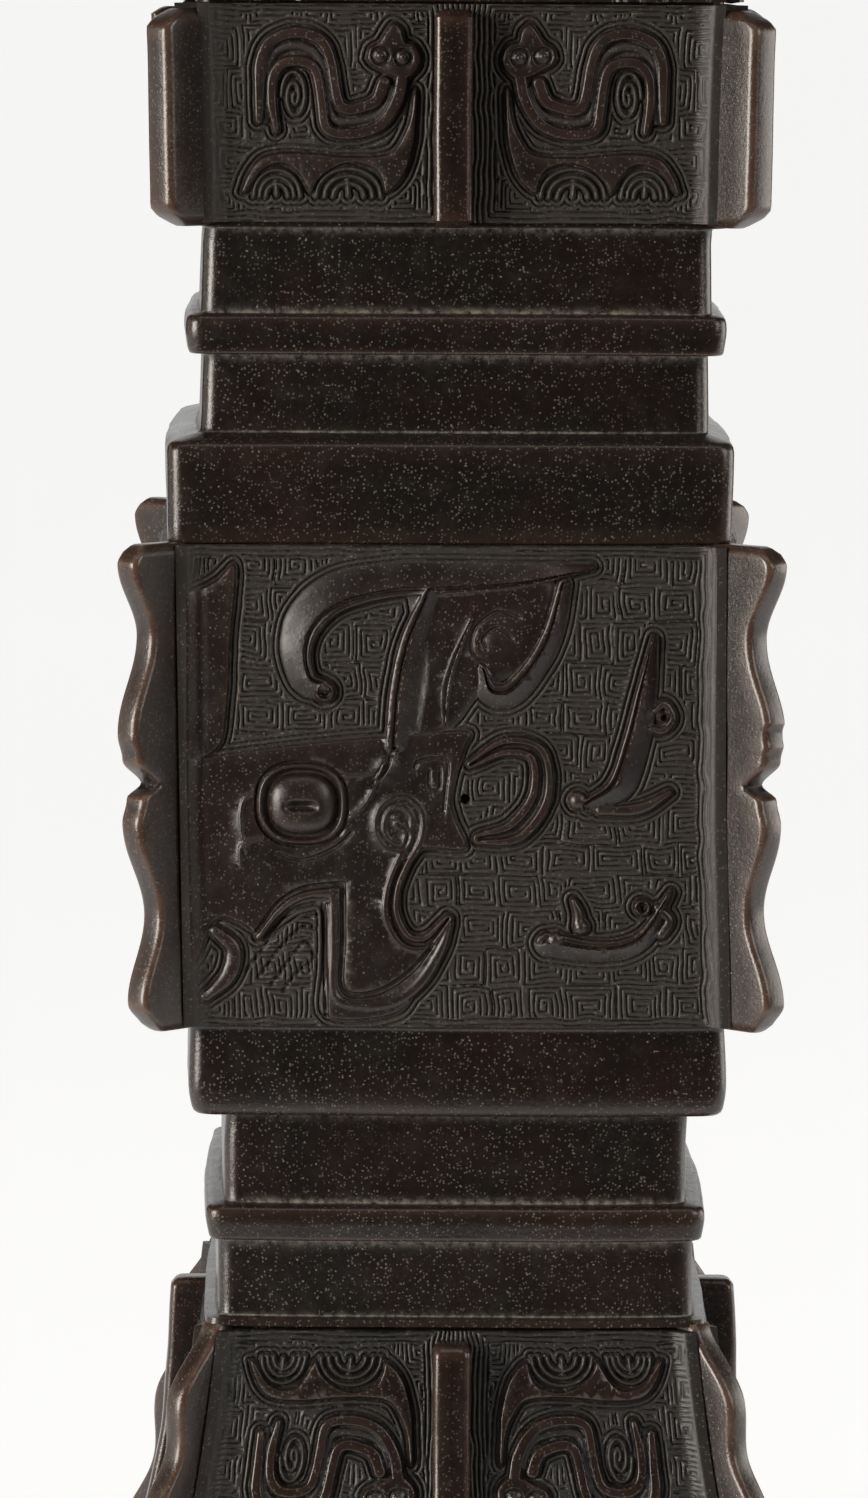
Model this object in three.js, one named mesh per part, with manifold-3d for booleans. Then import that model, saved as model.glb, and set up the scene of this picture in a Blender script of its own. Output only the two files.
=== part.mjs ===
// Square gu vase, cast in bronze as one piece. Millimetres, +Z up, standing on z = 0.
// The front face looks towards -Y. The vase is open at the mouth and hollow in the foot.
import * as THREE from 'three';
import { mergeVertices } from 'three/addons/utils/BufferGeometryUtils.js';
import Module from 'manifold-3d';

const wasm = await Module();
wasm.setup();

// Driving dimensions of the stack, from the standing edge to the mouth.
const plinthHeight = 9;
const footHeight = 66.7;
const lowNeckHeight = 7.9;
const lowMouldingHeight = 3.7;
const waistNeckHeight = 9.4;
const lowBandHeight = 9.2;
const bodyHeight = 48.9;
const shoulderHeight = 9.9;
const ledgeHeight = 0.9;
const highNeckHeight = 7.8;
const highMouldingHeight = 4.1;
const topNeckHeight = 8.7;
const trumpetHeight = 122.7;

// Half widths across the flats of each section.
const plinthHalf = 47;
const plinthSetback = 2.2;
const footTopHalf = 25.4;
const footSlope = 0.105;
const footFlarePower = 2.8;
const lowNeckHalf = 24.2;
const lowMouldingHalf = 25.4;
const waistNeckHalf = 23.5;
const lowBandHalf = 27.25;
const bodyHalf = 28.7;
const shoulderHalf = 28.4;
const highNeckHalf = 25.3;
const highMouldingHalf = 27.1;
const topNeckHalf = 25.6;
const trumpetBottomHalf = 26.9;
const trumpetSlope = 0.012;
const trumpetFlarePower = 3;
const mouthHalf = 78;

// Soft forms that the casting has everywhere.
const cornerRadius = 1.6;
const sideBow = 0.5;
const edgeRound = 0.7;
const grooveDepth = 0.55;
const rimRound = 0.8;

// Walls, the floor between the bowl and the foot, and the cavity corners.
const wall = 3.3;
const floorTop = 95;
const floorThickness = 4.5;
const cavityRadius = 2.5;
const hollowOverrun = 1;

// Flanges: the corner ones stand on the diagonals, the middle ones on the faces.
const trumpetFlangeThick = 3.5;
const bodyFlangeThick = 3.0;
const footFlangeThick = 2.8;
const middleFlangeThick = 3.8;
const flangeEdge = 0.6;
const flangeSink = 4;
const trumpetFlangeReach = 4.8;
const trumpetMiddleReach = 4.0;
const footMiddleReach = 3.9;
const footMiddleLowReach = 3.0;
const bodyFlangeLobe = 5.4;
const bodyFlangeTopLobe = 6.0;
const bodyFlangeDip = 2.9;
const bodyFlangeTopDip = 3.4;
const bodyFlangeNotch = 3.0;
const footFlangeLobe = 5.0;
const footFlangeTopLobe = 3.9;
const footFlangeDip = 3.2;
const flangeRound = 2.0;
const lowerSegmentHeight = 21.5;
const segmentGap = 2.4;
const flangeTopClearance = 9;
const upperFlangeReach = 3.4;

// Carved relief. The masks are drawn on a grid of tenths of a millimetre at the design size.
const reliefHeight = 0.75;
const lowReliefHeight = 0.6;
const eyeHeight = 1.7;
const plateHeight = 0.35;
const maskGridHalfWidth = 288;
const maskGridHalfHeight = 243;
const kuiGridHalfWidth = 269;
const kuiGridHeight = 222;
const kuiBandHeight = 21.9;
const footBandHeight = 21.9;
const footBandSink = 1.2;
const bladeFootHalf = 19;
const bladeRibWidth = 2.2;
const bladeTipDrop = 16;
const bladeStart = 4;
const prismDepth = 5;

// Steps in the rounded outlines.
const arcSteps = 2;
const sideSteps = 2;
const trumpetSteps = 9;
const footSteps = 6;
const eyeSides = 10;

// Slivers left by joining, smaller than this, are merged away.
const tidyTolerance = 0.02;

// Heights where one section ends and the next begins.
const lowNeckZ = footHeight;
const lowMouldingZ = lowNeckZ + lowNeckHeight;
const waistNeckZ = lowMouldingZ + lowMouldingHeight;
const lowBandZ = waistNeckZ + waistNeckHeight;
const bodyZ = lowBandZ + lowBandHeight;
const shoulderZ = bodyZ + bodyHeight;
const highNeckZ = shoulderZ + shoulderHeight + ledgeHeight;
const highMouldingZ = highNeckZ + highNeckHeight;
const topNeckZ = highMouldingZ + highMouldingHeight;
const trumpetZ = topNeckZ + topNeckHeight;
const mouthZ = trumpetZ + trumpetHeight;

// Half width of the foot at a height, swelling downwards to the plinth.
const footHalfAt = (z) => {
  const depth = THREE.MathUtils.clamp(footHeight - z, 0, footHeight - plinthHeight);
  const full = footHeight - plinthHeight;
  const swell = plinthHalf - plinthSetback - footTopHalf - footSlope * full;
  return footTopHalf + footSlope * depth + swell * (depth / full) ** footFlarePower;
};

// Half width of the trumpet at a height, opening upwards to the mouth.
const trumpetHalfAt = (z) => {
  const rise = z - trumpetZ;
  const swell = mouthHalf - trumpetBottomHalf - trumpetSlope * trumpetHeight;
  return trumpetBottomHalf + trumpetSlope * rise + swell * (rise / trumpetHeight) ** trumpetFlarePower;
};

// Points of one level: a square with rounded corners and slightly bowed sides.
const ringAt = (half, z, radius, bow) => {
  const points = [];
  const centre = half - radius;
  for (let side = 0; side < 4; side += 1) {
    const turn = (side * Math.PI) / 2;
    const place = (x, y) => {
      const px = x * Math.cos(turn) - y * Math.sin(turn);
      const py = x * Math.sin(turn) + y * Math.cos(turn);
      points.push(new THREE.Vector3(px, py, z));
    };
    for (let i = 1; i < sideSteps; i += 1) {
      const t = (2 * i) / sideSteps - 1;
      place(t * centre, -half - bow * (1 - t * t));
    }
    for (let i = 0; i <= arcSteps; i += 1) {
      const angle = -Math.PI / 2 + (i / arcSteps) * (Math.PI / 2);
      place(centre + radius * Math.cos(angle), -centre + radius * Math.sin(angle));
    }
  }
  return points;
};

// Closed solid through a list of levels, each with the same number of points.
const loft = (rings) => {
  const count = rings[0].length;
  const positions = [];
  const index = [];
  rings.forEach((ring) => ring.forEach((p) => positions.push(p.x, p.y, p.z)));
  const capCentre = (ring) => {
    const centre = new THREE.Vector3();
    ring.forEach((p) => centre.add(p));
    centre.divideScalar(count);
    positions.push(centre.x, centre.y, centre.z);
    return positions.length / 3 - 1;
  };
  for (let level = 0; level + 1 < rings.length; level += 1) {
    for (let i = 0; i < count; i += 1) {
      const a = level * count + i;
      const b = level * count + ((i + 1) % count);
      index.push(a, b, b + count, a, b + count, a + count);
    }
  }
  const bottom = capCentre(rings[0]);
  const top = capCentre(rings[rings.length - 1]);
  const last = (rings.length - 1) * count;
  for (let i = 0; i < count; i += 1) {
    const next = (i + 1) % count;
    index.push(bottom, next, i);
    index.push(top, last + i, last + next);
  }
  const geometry = new THREE.BufferGeometry();
  geometry.setAttribute('position', new THREE.Float32BufferAttribute(positions, 3));
  geometry.setIndex(index);
  return geometry;
};

// A geometry as a solid for cutting and joining.
const toSolid = (geometry) => {
  const bare = new THREE.BufferGeometry();
  bare.setAttribute('position', geometry.getAttribute('position').clone());
  if (geometry.index) {
    bare.setIndex(geometry.index.clone());
  }
  const merged = mergeVertices(bare);
  const vertProperties = new Float32Array(merged.getAttribute('position').array);
  const triVerts = new Uint32Array(merged.index.array);
  return new wasm.Manifold(new wasm.Mesh({ numProp: 3, vertProperties, triVerts }));
};

// A solid back as a geometry with flat faces.
const toGeometry = (solid) => {
  const mesh = solid.getMesh();
  const geometry = new THREE.BufferGeometry();
  const stride = mesh.numProp;
  const positions = [];
  for (let i = 0; i < mesh.vertProperties.length; i += stride) {
    positions.push(mesh.vertProperties[i], mesh.vertProperties[i + 1], mesh.vertProperties[i + 2]);
  }
  geometry.setAttribute('position', new THREE.Float32BufferAttribute(positions, 3));
  geometry.setIndex(Array.from(mesh.triVerts));
  const flat = geometry.toNonIndexed();
  flat.computeVertexNormals();
  return flat;
};

// The vertical profile of the outside as a list of heights and half widths.
const bandLevels = (z, height, half) => [
  [z, half - edgeRound],
  [z + edgeRound, half],
  [z + height - edgeRound, half],
  [z + height, half - edgeRound],
];

// A moulding with two round lobes and a groove between them.
const mouldingLevels = (z, height, half) => {
  const lobe = height / 4;
  return [
    [z, half - edgeRound],
    [z + lobe / 2, half],
    [z + lobe, half],
    [z + 2 * lobe, half - grooveDepth],
    [z + 3 * lobe, half],
    [z + 3.5 * lobe, half],
    [z + height, half - edgeRound],
  ];
};

const footLevels = () => {
  const levels = [];
  for (let i = 0; i <= footSteps; i += 1) {
    const z = plinthHeight + (i / footSteps) * (footHeight - plinthHeight);
    levels.push([z, footHalfAt(z)]);
  }
  return levels;
};

const trumpetLevels = () => {
  const levels = [];
  for (let i = 0; i <= trumpetSteps; i += 1) {
    const z = trumpetZ + (i / trumpetSteps) ** 0.8 * trumpetHeight;
    levels.push([z, trumpetHalfAt(z)]);
  }
  return levels;
};

const outsideLevels = () => [
  [0, plinthHalf - edgeRound],
  [edgeRound, plinthHalf],
  [plinthHeight - edgeRound, plinthHalf],
  [plinthHeight, plinthHalf - edgeRound],
  ...footLevels(),
  [lowNeckZ, lowNeckHalf],
  [lowMouldingZ, lowNeckHalf],
  ...mouldingLevels(lowMouldingZ, lowMouldingHeight, lowMouldingHalf),
  [waistNeckZ, waistNeckHalf],
  [lowBandZ, waistNeckHalf],
  ...bandLevels(lowBandZ, lowBandHeight, lowBandHalf),
  [bodyZ, bodyHalf],
  [shoulderZ, bodyHalf],
  [shoulderZ, shoulderHalf],
  [shoulderZ + shoulderHeight - edgeRound, shoulderHalf],
  [shoulderZ + shoulderHeight, shoulderHalf - edgeRound],
  [highNeckZ, highNeckHalf],
  [highMouldingZ, highNeckHalf],
  ...mouldingLevels(highMouldingZ, highMouldingHeight, highMouldingHalf),
  [topNeckZ, topNeckHalf],
  [trumpetZ, topNeckHalf],
  ...trumpetLevels(),
];

// The outside as one solid. The last level is drawn in to round the rim.
const outsideSolid = () => {
  const levels = outsideLevels();
  const last = levels.length - 1;
  const [rimZ, rimHalf] = levels[last];
  levels[last] = [rimZ - rimRound, trumpetHalfAt(rimZ - rimRound)];
  levels.push([rimZ, rimHalf - rimRound]);
  return toSolid(loft(levels.map(([z, half]) => ringAt(half, z, cornerRadius, sideBow))));
};

// How far the wall reaches sideways where the outside slopes.
const slantWall = (halfAt, z) => {
  const step = 0.5;
  const slope = (halfAt(z + step) - halfAt(z - step)) / (2 * step);
  return wall * Math.sqrt(1 + slope * slope);
};

// The bowl: from the floor up through the necks to the mouth.
const bowlSolid = () => {
  const neck = highNeckHalf - wall;
  const belly = bodyHalf - wall;
  const levels = [
    [floorTop, neck],
    [bodyZ + wall, neck],
    [bodyZ + 2 * wall, belly],
    [shoulderZ - wall, belly],
    [shoulderZ, neck],
    [trumpetZ - wall, neck],
  ];
  for (let i = 0; i <= trumpetSteps; i += 1) {
    const z = trumpetZ + (i / trumpetSteps) ** 0.8 * trumpetHeight;
    levels.push([z, trumpetHalfAt(z) - slantWall(trumpetHalfAt, z)]);
  }
  const [topZ, topHalf] = levels[levels.length - 1];
  levels.push([topZ + hollowOverrun, topHalf + hollowOverrun]);
  return toSolid(loft(levels.map(([z, half]) => ringAt(half, z, cavityRadius, 0))));
};

// The hollow of the foot, open below.
const footHollowSolid = () => {
  const levels = [
    [-hollowOverrun, plinthHalf - wall],
    [plinthHeight - wall, plinthHalf - wall],
  ];
  for (let i = 0; i < footSteps; i += 1) {
    const z = plinthHeight + (i / footSteps) * (footHeight - plinthHeight);
    levels.push([z, footHalfAt(z) - slantWall(footHalfAt, z)]);
  }
  levels.push([lowNeckZ, lowNeckHalf - wall]);
  levels.push([lowMouldingZ + lowMouldingHeight, waistNeckHalf - wall]);
  levels.push([floorTop - floorThickness, waistNeckHalf - wall]);
  return toSolid(loft(levels.map(([z, half]) => ringAt(half, z, cavityRadius, 0))));
};

// An upright fin along +X: its foot is sunk in the wall and its tip follows a function of
// the height. A worn fin has its edges taken off. A turn about the axis puts it in place.
const finSolid = (stations, rootAt, tipAt, thickness, turn, worn) => {
  const side = thickness / 2;
  const rings = stations.map((z) => {
    const root = rootAt(z) - flangeSink;
    const tip = Math.max(tipAt(z), root + 2 * flangeEdge);
    const edge = worn
      ? [[tip - flangeEdge, -side], [tip, flangeEdge - side], [tip, side - flangeEdge], [tip - flangeEdge, side]]
      : [[tip, -side], [tip, side]];
    const outline = [[root, -side], ...edge, [root, side]];
    return outline.map(([x, y]) => new THREE.Vector3(x, y, z));
  });
  const geometry = loft(rings);
  geometry.rotateZ(turn);
  return toSolid(geometry);
};

// Distance from the axis to the rounded corner of a level.
const cornerOf = (half) => Math.SQRT2 * (half - cornerRadius) + cornerRadius;

// Smooth run through named heights and reaches, each [share of the height, reach].
const waveAt = (knots, share) => {
  for (let i = 0; i + 1 < knots.length; i += 1) {
    const [a, reachA] = knots[i];
    const [b, reachB] = knots[i + 1];
    if (share >= a && share <= b) {
      const t = (share - a) / (b - a);
      return reachA + ((reachB - reachA) * (1 - Math.cos(Math.PI * t))) / 2;
    }
  }
  return knots[knots.length - 1][1];
};

const sharesFor = (knots, between) => {
  const shares = [];
  for (let i = 0; i + 1 < knots.length; i += 1) {
    for (let j = 0; j < between; j += 1) {
      shares.push(knots[i][0] + (j / between) * (knots[i + 1][0] - knots[i][0]));
    }
  }
  shares.push(knots[knots.length - 1][0]);
  return shares;
};

// Scalloped corner flange of the body: two lobes above and two below a pointed notch.
const bodyFlangeKnots = [
  [0, bodyFlangeLobe - flangeRound],
  [0.06, bodyFlangeLobe],
  [0.24, bodyFlangeDip],
  [0.43, bodyFlangeLobe],
  [0.48, bodyFlangeLobe - flangeEdge],
  [0.508, bodyFlangeNotch],
  [0.56, bodyFlangeTopLobe - flangeEdge],
  [0.61, bodyFlangeTopLobe],
  [0.81, bodyFlangeTopDip],
  [0.96, bodyFlangeTopLobe],
  [1, bodyFlangeTopLobe - 2 * flangeEdge],
];

// Waving corner flange of the foot, growing out of the corner at the top.
const footFlangeKnots = [
  [0, footFlangeDip - flangeEdge],
  [0.14, footFlangeLobe],
  [0.27, footFlangeDip],
  [0.4, footFlangeLobe],
  [0.54, footFlangeDip],
  [0.67, footFlangeLobe],
  [0.773, footFlangeDip],
  [0.86, footFlangeTopLobe],
  [1, 0],
];

const finStations = (low, high, knots, between) =>
  sharesFor(knots, between).map((share) => low + share * (high - low));

const plainKnots = (reach, round, height) => [
  [0, reach - round],
  [round / height, reach],
  [1 - round / height, reach],
  [1, reach - round],
];

// One flange along each of four directions.
const fourFins = (low, high, knots, between, baseAt, thickness, firstTurn, worn = false) => {
  const stations = finStations(low, high, knots, between);
  const tipAt = (z) => baseAt(z) + waveAt(knots, (z - low) / (high - low));
  const fins = [];
  for (let i = 0; i < 4; i += 1) {
    fins.push(finSolid(stations, baseAt, tipAt, thickness, firstTurn + (i * Math.PI) / 2, worn));
  }
  return fins;
};

const flangeSolids = () => {
  const diagonal = Math.PI / 4;
  const segmentTop = trumpetZ + lowerSegmentHeight;
  const upperLow = segmentTop + segmentGap;
  const upperHigh = mouthZ - flangeTopClearance;
  const lowerKnots = plainKnots(trumpetFlangeReach, flangeRound, lowerSegmentHeight);
  const middleKnots = plainKnots(trumpetMiddleReach, flangeEdge, lowerSegmentHeight);
  const upperKnots = plainKnots(upperFlangeReach, flangeRound, upperHigh - upperLow);
  const footLow = plinthHeight;
  const footMiddleKnots = [[0, footMiddleLowReach], [0.7, footMiddleLowReach], [1, footMiddleReach]];
  const trumpetCorner = (z) => cornerOf(trumpetHalfAt(z));
  const footCorner = (z) => cornerOf(footHalfAt(z));
  const bodyCorner = () => cornerOf(bodyHalf);
  const upperSteps = 3;
  return [
    ...fourFins(trumpetZ, segmentTop, lowerKnots, 1, trumpetCorner, trumpetFlangeThick, diagonal),
    ...fourFins(trumpetZ, segmentTop, middleKnots, 1, trumpetHalfAt, middleFlangeThick, 0),
    ...fourFins(upperLow, upperHigh, upperKnots, upperSteps, trumpetCorner, trumpetFlangeThick, diagonal),
    ...fourFins(upperLow, upperHigh, upperKnots, upperSteps, trumpetHalfAt, middleFlangeThick, 0),
    ...fourFins(bodyZ, shoulderZ, bodyFlangeKnots, 2, bodyCorner, bodyFlangeThick, diagonal, true),
    ...fourFins(footLow, footHeight, footFlangeKnots, 1, footCorner, footFlangeThick, diagonal),
    ...fourFins(footLow, footHeight, footMiddleKnots, 2, footHalfAt, middleFlangeThick, 0),
  ];
};

// Carved figures of the mask, each a run of [across, up, half width] on the design grid.
const maskRuns = {
  horn: [[-129, 92, 9], [-149, 106, 11], [-154, 136, 13], [-145, 168, 16], [-116, 194, 18],
    [-61, 208, 17], [-1, 209, 15], [69, 211, 11], [141, 220, 3]],
  stem: [[-19, 190, 9], [-39, 146, 13], [-49, 96, 14], [-53, 46, 14]],
  hook: [[111, 200, 7], [101, 156, 9], [84, 121, 10], [59, 94, 12], [37, 96, 9], [31, 118, 4]],
  ear: [[201, 146, 3], [194, 96, 9], [185, 46, 12], [169, 1, 13], [140, -18, 8]],
  claw: [[19, 24, 4], [54, 42, 8], [86, 34, 9], [86, -8, 12], [64, -42, 12], [27, -49, 6]],
  scroll: [[-53, -26, 9], [-37, -44, 8], [-59, -94, 7], [-63, -129, 8], [-45, -160, 9], [-5, -129, 4]],
  paw: [[97, -154, 12], [149, -162, 9], [189, -149, 8], [217, -104, 3]],
  nose: [[-241, -144, 6], [-223, -162, 7], [-229, -189, 7], [-251, -210, 4]],
};

// Outlines of the smooth cheek and of the leaf on the brow, as [across, up].
const cheekOutline = [[-255, 34], [19, 50], [10, 12], [15, -59], [-40, -66], [-68, -110], [-58, -158],
  [-28, -172], [-66, -220], [-119, -222], [-119, -107], [-150, -107], [-200, -140], [-255, -190]];
const browOutline = [[-255, 186], [-216, 218], [-222, 146], [-224, 86], [-233, 40], [-255, 40]];
const eyeCentre = [-148, -17];
const eyeRadius = 33;

// Carved figures of one dragon, drawn from the middle of the face and up from the band's foot.
const kuiRuns = {
  body: [[54, 186, 14], [54, 130, 12], [72, 109, 13], [112, 109, 13], [129, 150, 13],
    [160, 184, 13], [194, 166, 13], [198, 94, 8]],
  band: [[217, 14, 4], [190, 52, 9], [100, 64, 10], [56, 78, 12], [34, 136, 3]],
};

// A run as a closed outline, offset to both sides of its line.
const runOutline = (run) => {
  const left = [];
  const right = [];
  run.forEach(([x, y, half], i) => {
    const before = run[Math.max(i - 1, 0)];
    const after = run[Math.min(i + 1, run.length - 1)];
    const dx = after[0] - before[0];
    const dy = after[1] - before[1];
    const length = Math.hypot(dx, dy);
    left.push([x - (dy / length) * half, y + (dx / length) * half]);
    right.unshift([x + (dy / length) * half, y - (dx / length) * half]);
  });
  return [...left, ...right];
};

// An outline as an upright prism that cuts through one face and is turned to that face.
const prismSolid = (outline, place, reach, side) => {
  const points = outline.map(([x, y]) => place(x, y));
  const vectors = points.map(([u, z]) => new THREE.Vector2(u, z));
  if (THREE.ShapeUtils.area(vectors) < 0) {
    vectors.reverse();
  }
  const shape = new THREE.Shape(vectors);
  const geometry = new THREE.ExtrudeGeometry(shape, { depth: reach, bevelEnabled: false });
  geometry.rotateX(Math.PI / 2);
  geometry.rotateZ((side * Math.PI) / 2);
  return toSolid(geometry);
};

// The body grown outwards by the relief height, between two heights.
const grownSolid = (levels, grow) =>
  toSolid(loft(levels.map(([z, half]) => ringAt(half + grow, z, cornerRadius, sideBow))));

// Relief of the body: half a mask on each face, nose to nose at two opposite corners.
const maskSolids = () => {
  const levels = [[bodyZ, bodyHalf], [shoulderZ, bodyHalf]];
  const centreZ = bodyZ + bodyHeight / 2;
  const raised = grownSolid(levels, reliefHeight + plateHeight);
  const plate = grownSolid(levels, plateHeight);
  const solids = [];
  const reach = bodyHalf + reliefHeight + eyeHeight + prismDepth;
  for (let side = 0; side < 4; side += 1) {
    const mirror = side % 2 === 0 ? 1 : -1;
    const place = (x, y) => [
      (mirror * x * bodyHalf) / maskGridHalfWidth,
      centreZ + (y * bodyHeight) / (2 * maskGridHalfHeight),
    ];
    Object.values(maskRuns).forEach((run) => {
      solids.push(raised.intersect(prismSolid(runOutline(run), place, reach, side)));
    });
    solids.push(plate.intersect(prismSolid(cheekOutline, place, reach, side)));
    solids.push(plate.intersect(prismSolid(browOutline, place, reach, side)));
    const [eyeU, eyeZ] = place(eyeCentre[0], eyeCentre[1]);
    const radius = (eyeRadius * bodyHalf) / maskGridHalfWidth;
    const eye = new THREE.SphereGeometry(radius, eyeSides, eyeSides / 2);
    eye.scale(1, (eyeHeight + sideBow) / radius, 1);
    eye.translate(eyeU, -bodyHalf, eyeZ);
    eye.rotateZ((side * Math.PI) / 2);
    solids.push(toSolid(eye));
  }
  return solids;
};

// Relief of two mirrored dragons on every face of a band, upright or hanging.
const kuiSolids = (levels, lowZ, highZ, hanging) => {
  const raised = grownSolid(levels, lowReliefHeight);
  const solids = [];
  const height = highZ - lowZ;
  const reach = bodyHalf + prismDepth + height / 2;
  for (let side = 0; side < 4; side += 1) {
    [-1, 1].forEach((mirror) => {
      const place = (x, y) => {
        const rise = (y * height) / kuiGridHeight;
        const half = hanging ? footTopHalf : trumpetBottomHalf;
        return [(mirror * x * half) / kuiGridHalfWidth, hanging ? highZ - rise : lowZ + rise];
      };
      Object.values(kuiRuns).forEach((run) => {
        solids.push(raised.intersect(prismSolid(runOutline(run), place, reach, side)));
      });
    });
  }
  return solids;
};

// Tall blades of the trumpet: two raised ribs on each face that meet below the rim.
const bladeSolids = (levels) => {
  const raised = grownSolid(levels, lowReliefHeight);
  const lowZ = trumpetZ + kuiBandHeight + bladeStart;
  const tipZ = mouthZ - bladeTipDrop;
  const solids = [];
  for (let side = 0; side < 4; side += 1) {
    [-1, 1].forEach((mirror) => {
      const outline = [
        [bladeFootHalf - bladeRibWidth, lowZ],
        [bladeFootHalf, lowZ],
        [middleFlangeThick, tipZ],
        [middleFlangeThick - bladeRibWidth, tipZ],
      ];
      const place = (u, z) => [mirror * u, z];
      solids.push(raised.intersect(prismSolid(outline, place, mouthHalf + prismDepth, side)));
    });
  }
  return solids;
};

const vaseSolid = () => {
  const trumpet = trumpetLevels();
  const foot = footLevels();
  const kuiTop = trumpetZ + kuiBandHeight;
  const kuiLevels = [trumpetZ, kuiTop].map((z) => [z, trumpetHalfAt(z)]);
  const footBandTop = footHeight - footBandSink;
  const solids = [
    outsideSolid(),
    ...flangeSolids(),
    ...maskSolids(),
    ...kuiSolids(kuiLevels, trumpetZ, kuiTop, false),
    ...kuiSolids(foot, footBandTop - footBandHeight, footBandTop, true),
    ...bladeSolids(trumpet),
  ];
  const whole = wasm.Manifold.union(solids);
  return whole.subtract(bowlSolid()).subtract(footHollowSolid()).simplify(tidyTolerance);
};

const bronze = new THREE.MeshStandardMaterial({ color: 0x2a211c, metalness: 0.6, roughness: 0.45 });
const vase = new THREE.Mesh(toGeometry(vaseSolid()), bronze);
vase.name = 'gu_vase';

const group = new THREE.Group();
group.name = 'gu_vase_part';
group.add(vase);

export default group;
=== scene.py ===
"""Studio scene of a square bronze gu vase, dressed over the solids of its frame.

Lengths in this file are millimetres unless a name says otherwise, and become metres when a mesh
is written. The front face looks towards -Y and the vase stands on z = 0.
"""
import logging
import math
from dataclasses import dataclass, field
from enum import Enum
from typing import Callable, Iterator, Optional, Sequence

import bpy
import numpy as np
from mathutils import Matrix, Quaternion, Vector


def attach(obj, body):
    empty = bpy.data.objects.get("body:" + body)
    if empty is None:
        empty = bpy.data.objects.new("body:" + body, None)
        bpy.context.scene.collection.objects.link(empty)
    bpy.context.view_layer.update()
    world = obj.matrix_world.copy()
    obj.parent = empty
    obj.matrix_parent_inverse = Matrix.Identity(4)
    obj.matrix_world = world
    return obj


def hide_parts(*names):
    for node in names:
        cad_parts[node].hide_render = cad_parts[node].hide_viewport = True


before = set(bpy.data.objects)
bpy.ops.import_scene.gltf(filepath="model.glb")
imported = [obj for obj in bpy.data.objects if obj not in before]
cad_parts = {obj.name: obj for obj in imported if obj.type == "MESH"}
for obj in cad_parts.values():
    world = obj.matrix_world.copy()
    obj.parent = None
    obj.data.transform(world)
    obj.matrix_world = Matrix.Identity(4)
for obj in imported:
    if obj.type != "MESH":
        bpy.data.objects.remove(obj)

LOG = logging.getLogger("gu_vase")
NODE = "gu_vase"
METRES = 0.001
Run = Sequence[tuple[float, ...]]


# Numbers and meshes


class LatticeNoise:
    """Smooth seeded noise between -1 and 1 over points in space."""

    cells = 32

    def __init__(self, seed: int) -> None:
        """Fill the lattice.

        Args:
            seed: Seed of the random lattice.
        """
        self.lattice = np.random.default_rng(seed).uniform(-1.0, 1.0, (self.cells,) * 3)

    def at(self, x: np.ndarray, y: np.ndarray, z: np.ndarray, size: float) -> np.ndarray:
        """Sample the noise.

        Args:
            x: Positions across.
            y: Positions in depth.
            z: Positions up.
            size: Size of one cell of the noise.

        Returns:
            One value for each point.
        """
        corners, weights = [], []
        for axis in (x, y, z):
            place = np.asarray(axis, dtype=float) / size + self.cells * 4
            low = np.floor(place)
            part = place - low
            corners.append(low.astype(int) % self.cells)
            weights.append(part * part * (3.0 - 2.0 * part))
        total = 0.0
        for step in np.ndindex(2, 2, 2):
            index = tuple((corner + move) % self.cells for corner, move in zip(corners, step))
            weight = 1.0
            for part, move in zip(weights, step):
                weight = weight * (part if move else 1.0 - part)
            total = total + self.lattice[index] * weight
        return total


def smooth(value: np.ndarray) -> np.ndarray:
    """Ease a value from 0 to 1, held at both ends."""
    held = np.clip(value, 0.0, 1.0)
    return held * held * (3.0 - 2.0 * held)


def curve_through(points: Run, between: int) -> np.ndarray:
    """Draw a smooth line through points.

    Args:
        points: Points with their widths, two or more.
        between: Steps between two points.

    Returns:
        The line, one row for each step, with as many columns as a point has.
    """
    knots = np.asarray(points, dtype=float)
    padded = np.vstack([2 * knots[0] - knots[1], knots, 2 * knots[-1] - knots[-2]])
    rows = []
    for i in range(1, len(padded) - 2):
        a, b, c, d = padded[i - 1 : i + 3]
        for t in np.linspace(0.0, 1.0, between, endpoint=False):
            rows.append(0.5 * (2 * b + (c - a) * t + (2 * a - 5 * b + 4 * c - d) * t**2
                               + (3 * b - a - 3 * c + d) * t**3))
    rows.append(knots[-1])
    line = np.array(rows)
    line[:, 2:] = np.maximum(line[:, 2:], 0.0)
    return line


def clear_selection() -> None:
    """Leave object mode with nothing selected."""
    if bpy.context.object is not None and bpy.context.object.mode != "OBJECT":
        bpy.ops.object.mode_set(mode="OBJECT")
    bpy.ops.object.select_all(action="DESELECT")


def activate(piece: bpy.types.Object) -> None:
    """Make a piece the active and only selected one."""
    clear_selection()
    piece.select_set(True)
    bpy.context.view_layer.objects.active = piece


def corners_of(piece: bpy.types.Object) -> np.ndarray:
    """Places of a piece's corners in metres, one row for each."""
    flat = np.empty(len(piece.data.vertices) * 3)
    piece.data.vertices.foreach_get("co", flat)
    return flat.reshape(-1, 3)


def move_corners(piece: bpy.types.Object, places: np.ndarray) -> None:
    """Put a piece's corners at new places in metres."""
    piece.data.vertices.foreach_set("co", places.ravel())
    piece.data.update()


def store_marks(piece: bpy.types.Object, marks: dict[str, np.ndarray]) -> None:
    """Store named values on the corners of a piece, for its finish to read."""
    for name, values in marks.items():
        layer = piece.data.attributes.new(name, "FLOAT", "POINT")
        layer.data.foreach_set("value", values)


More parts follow.
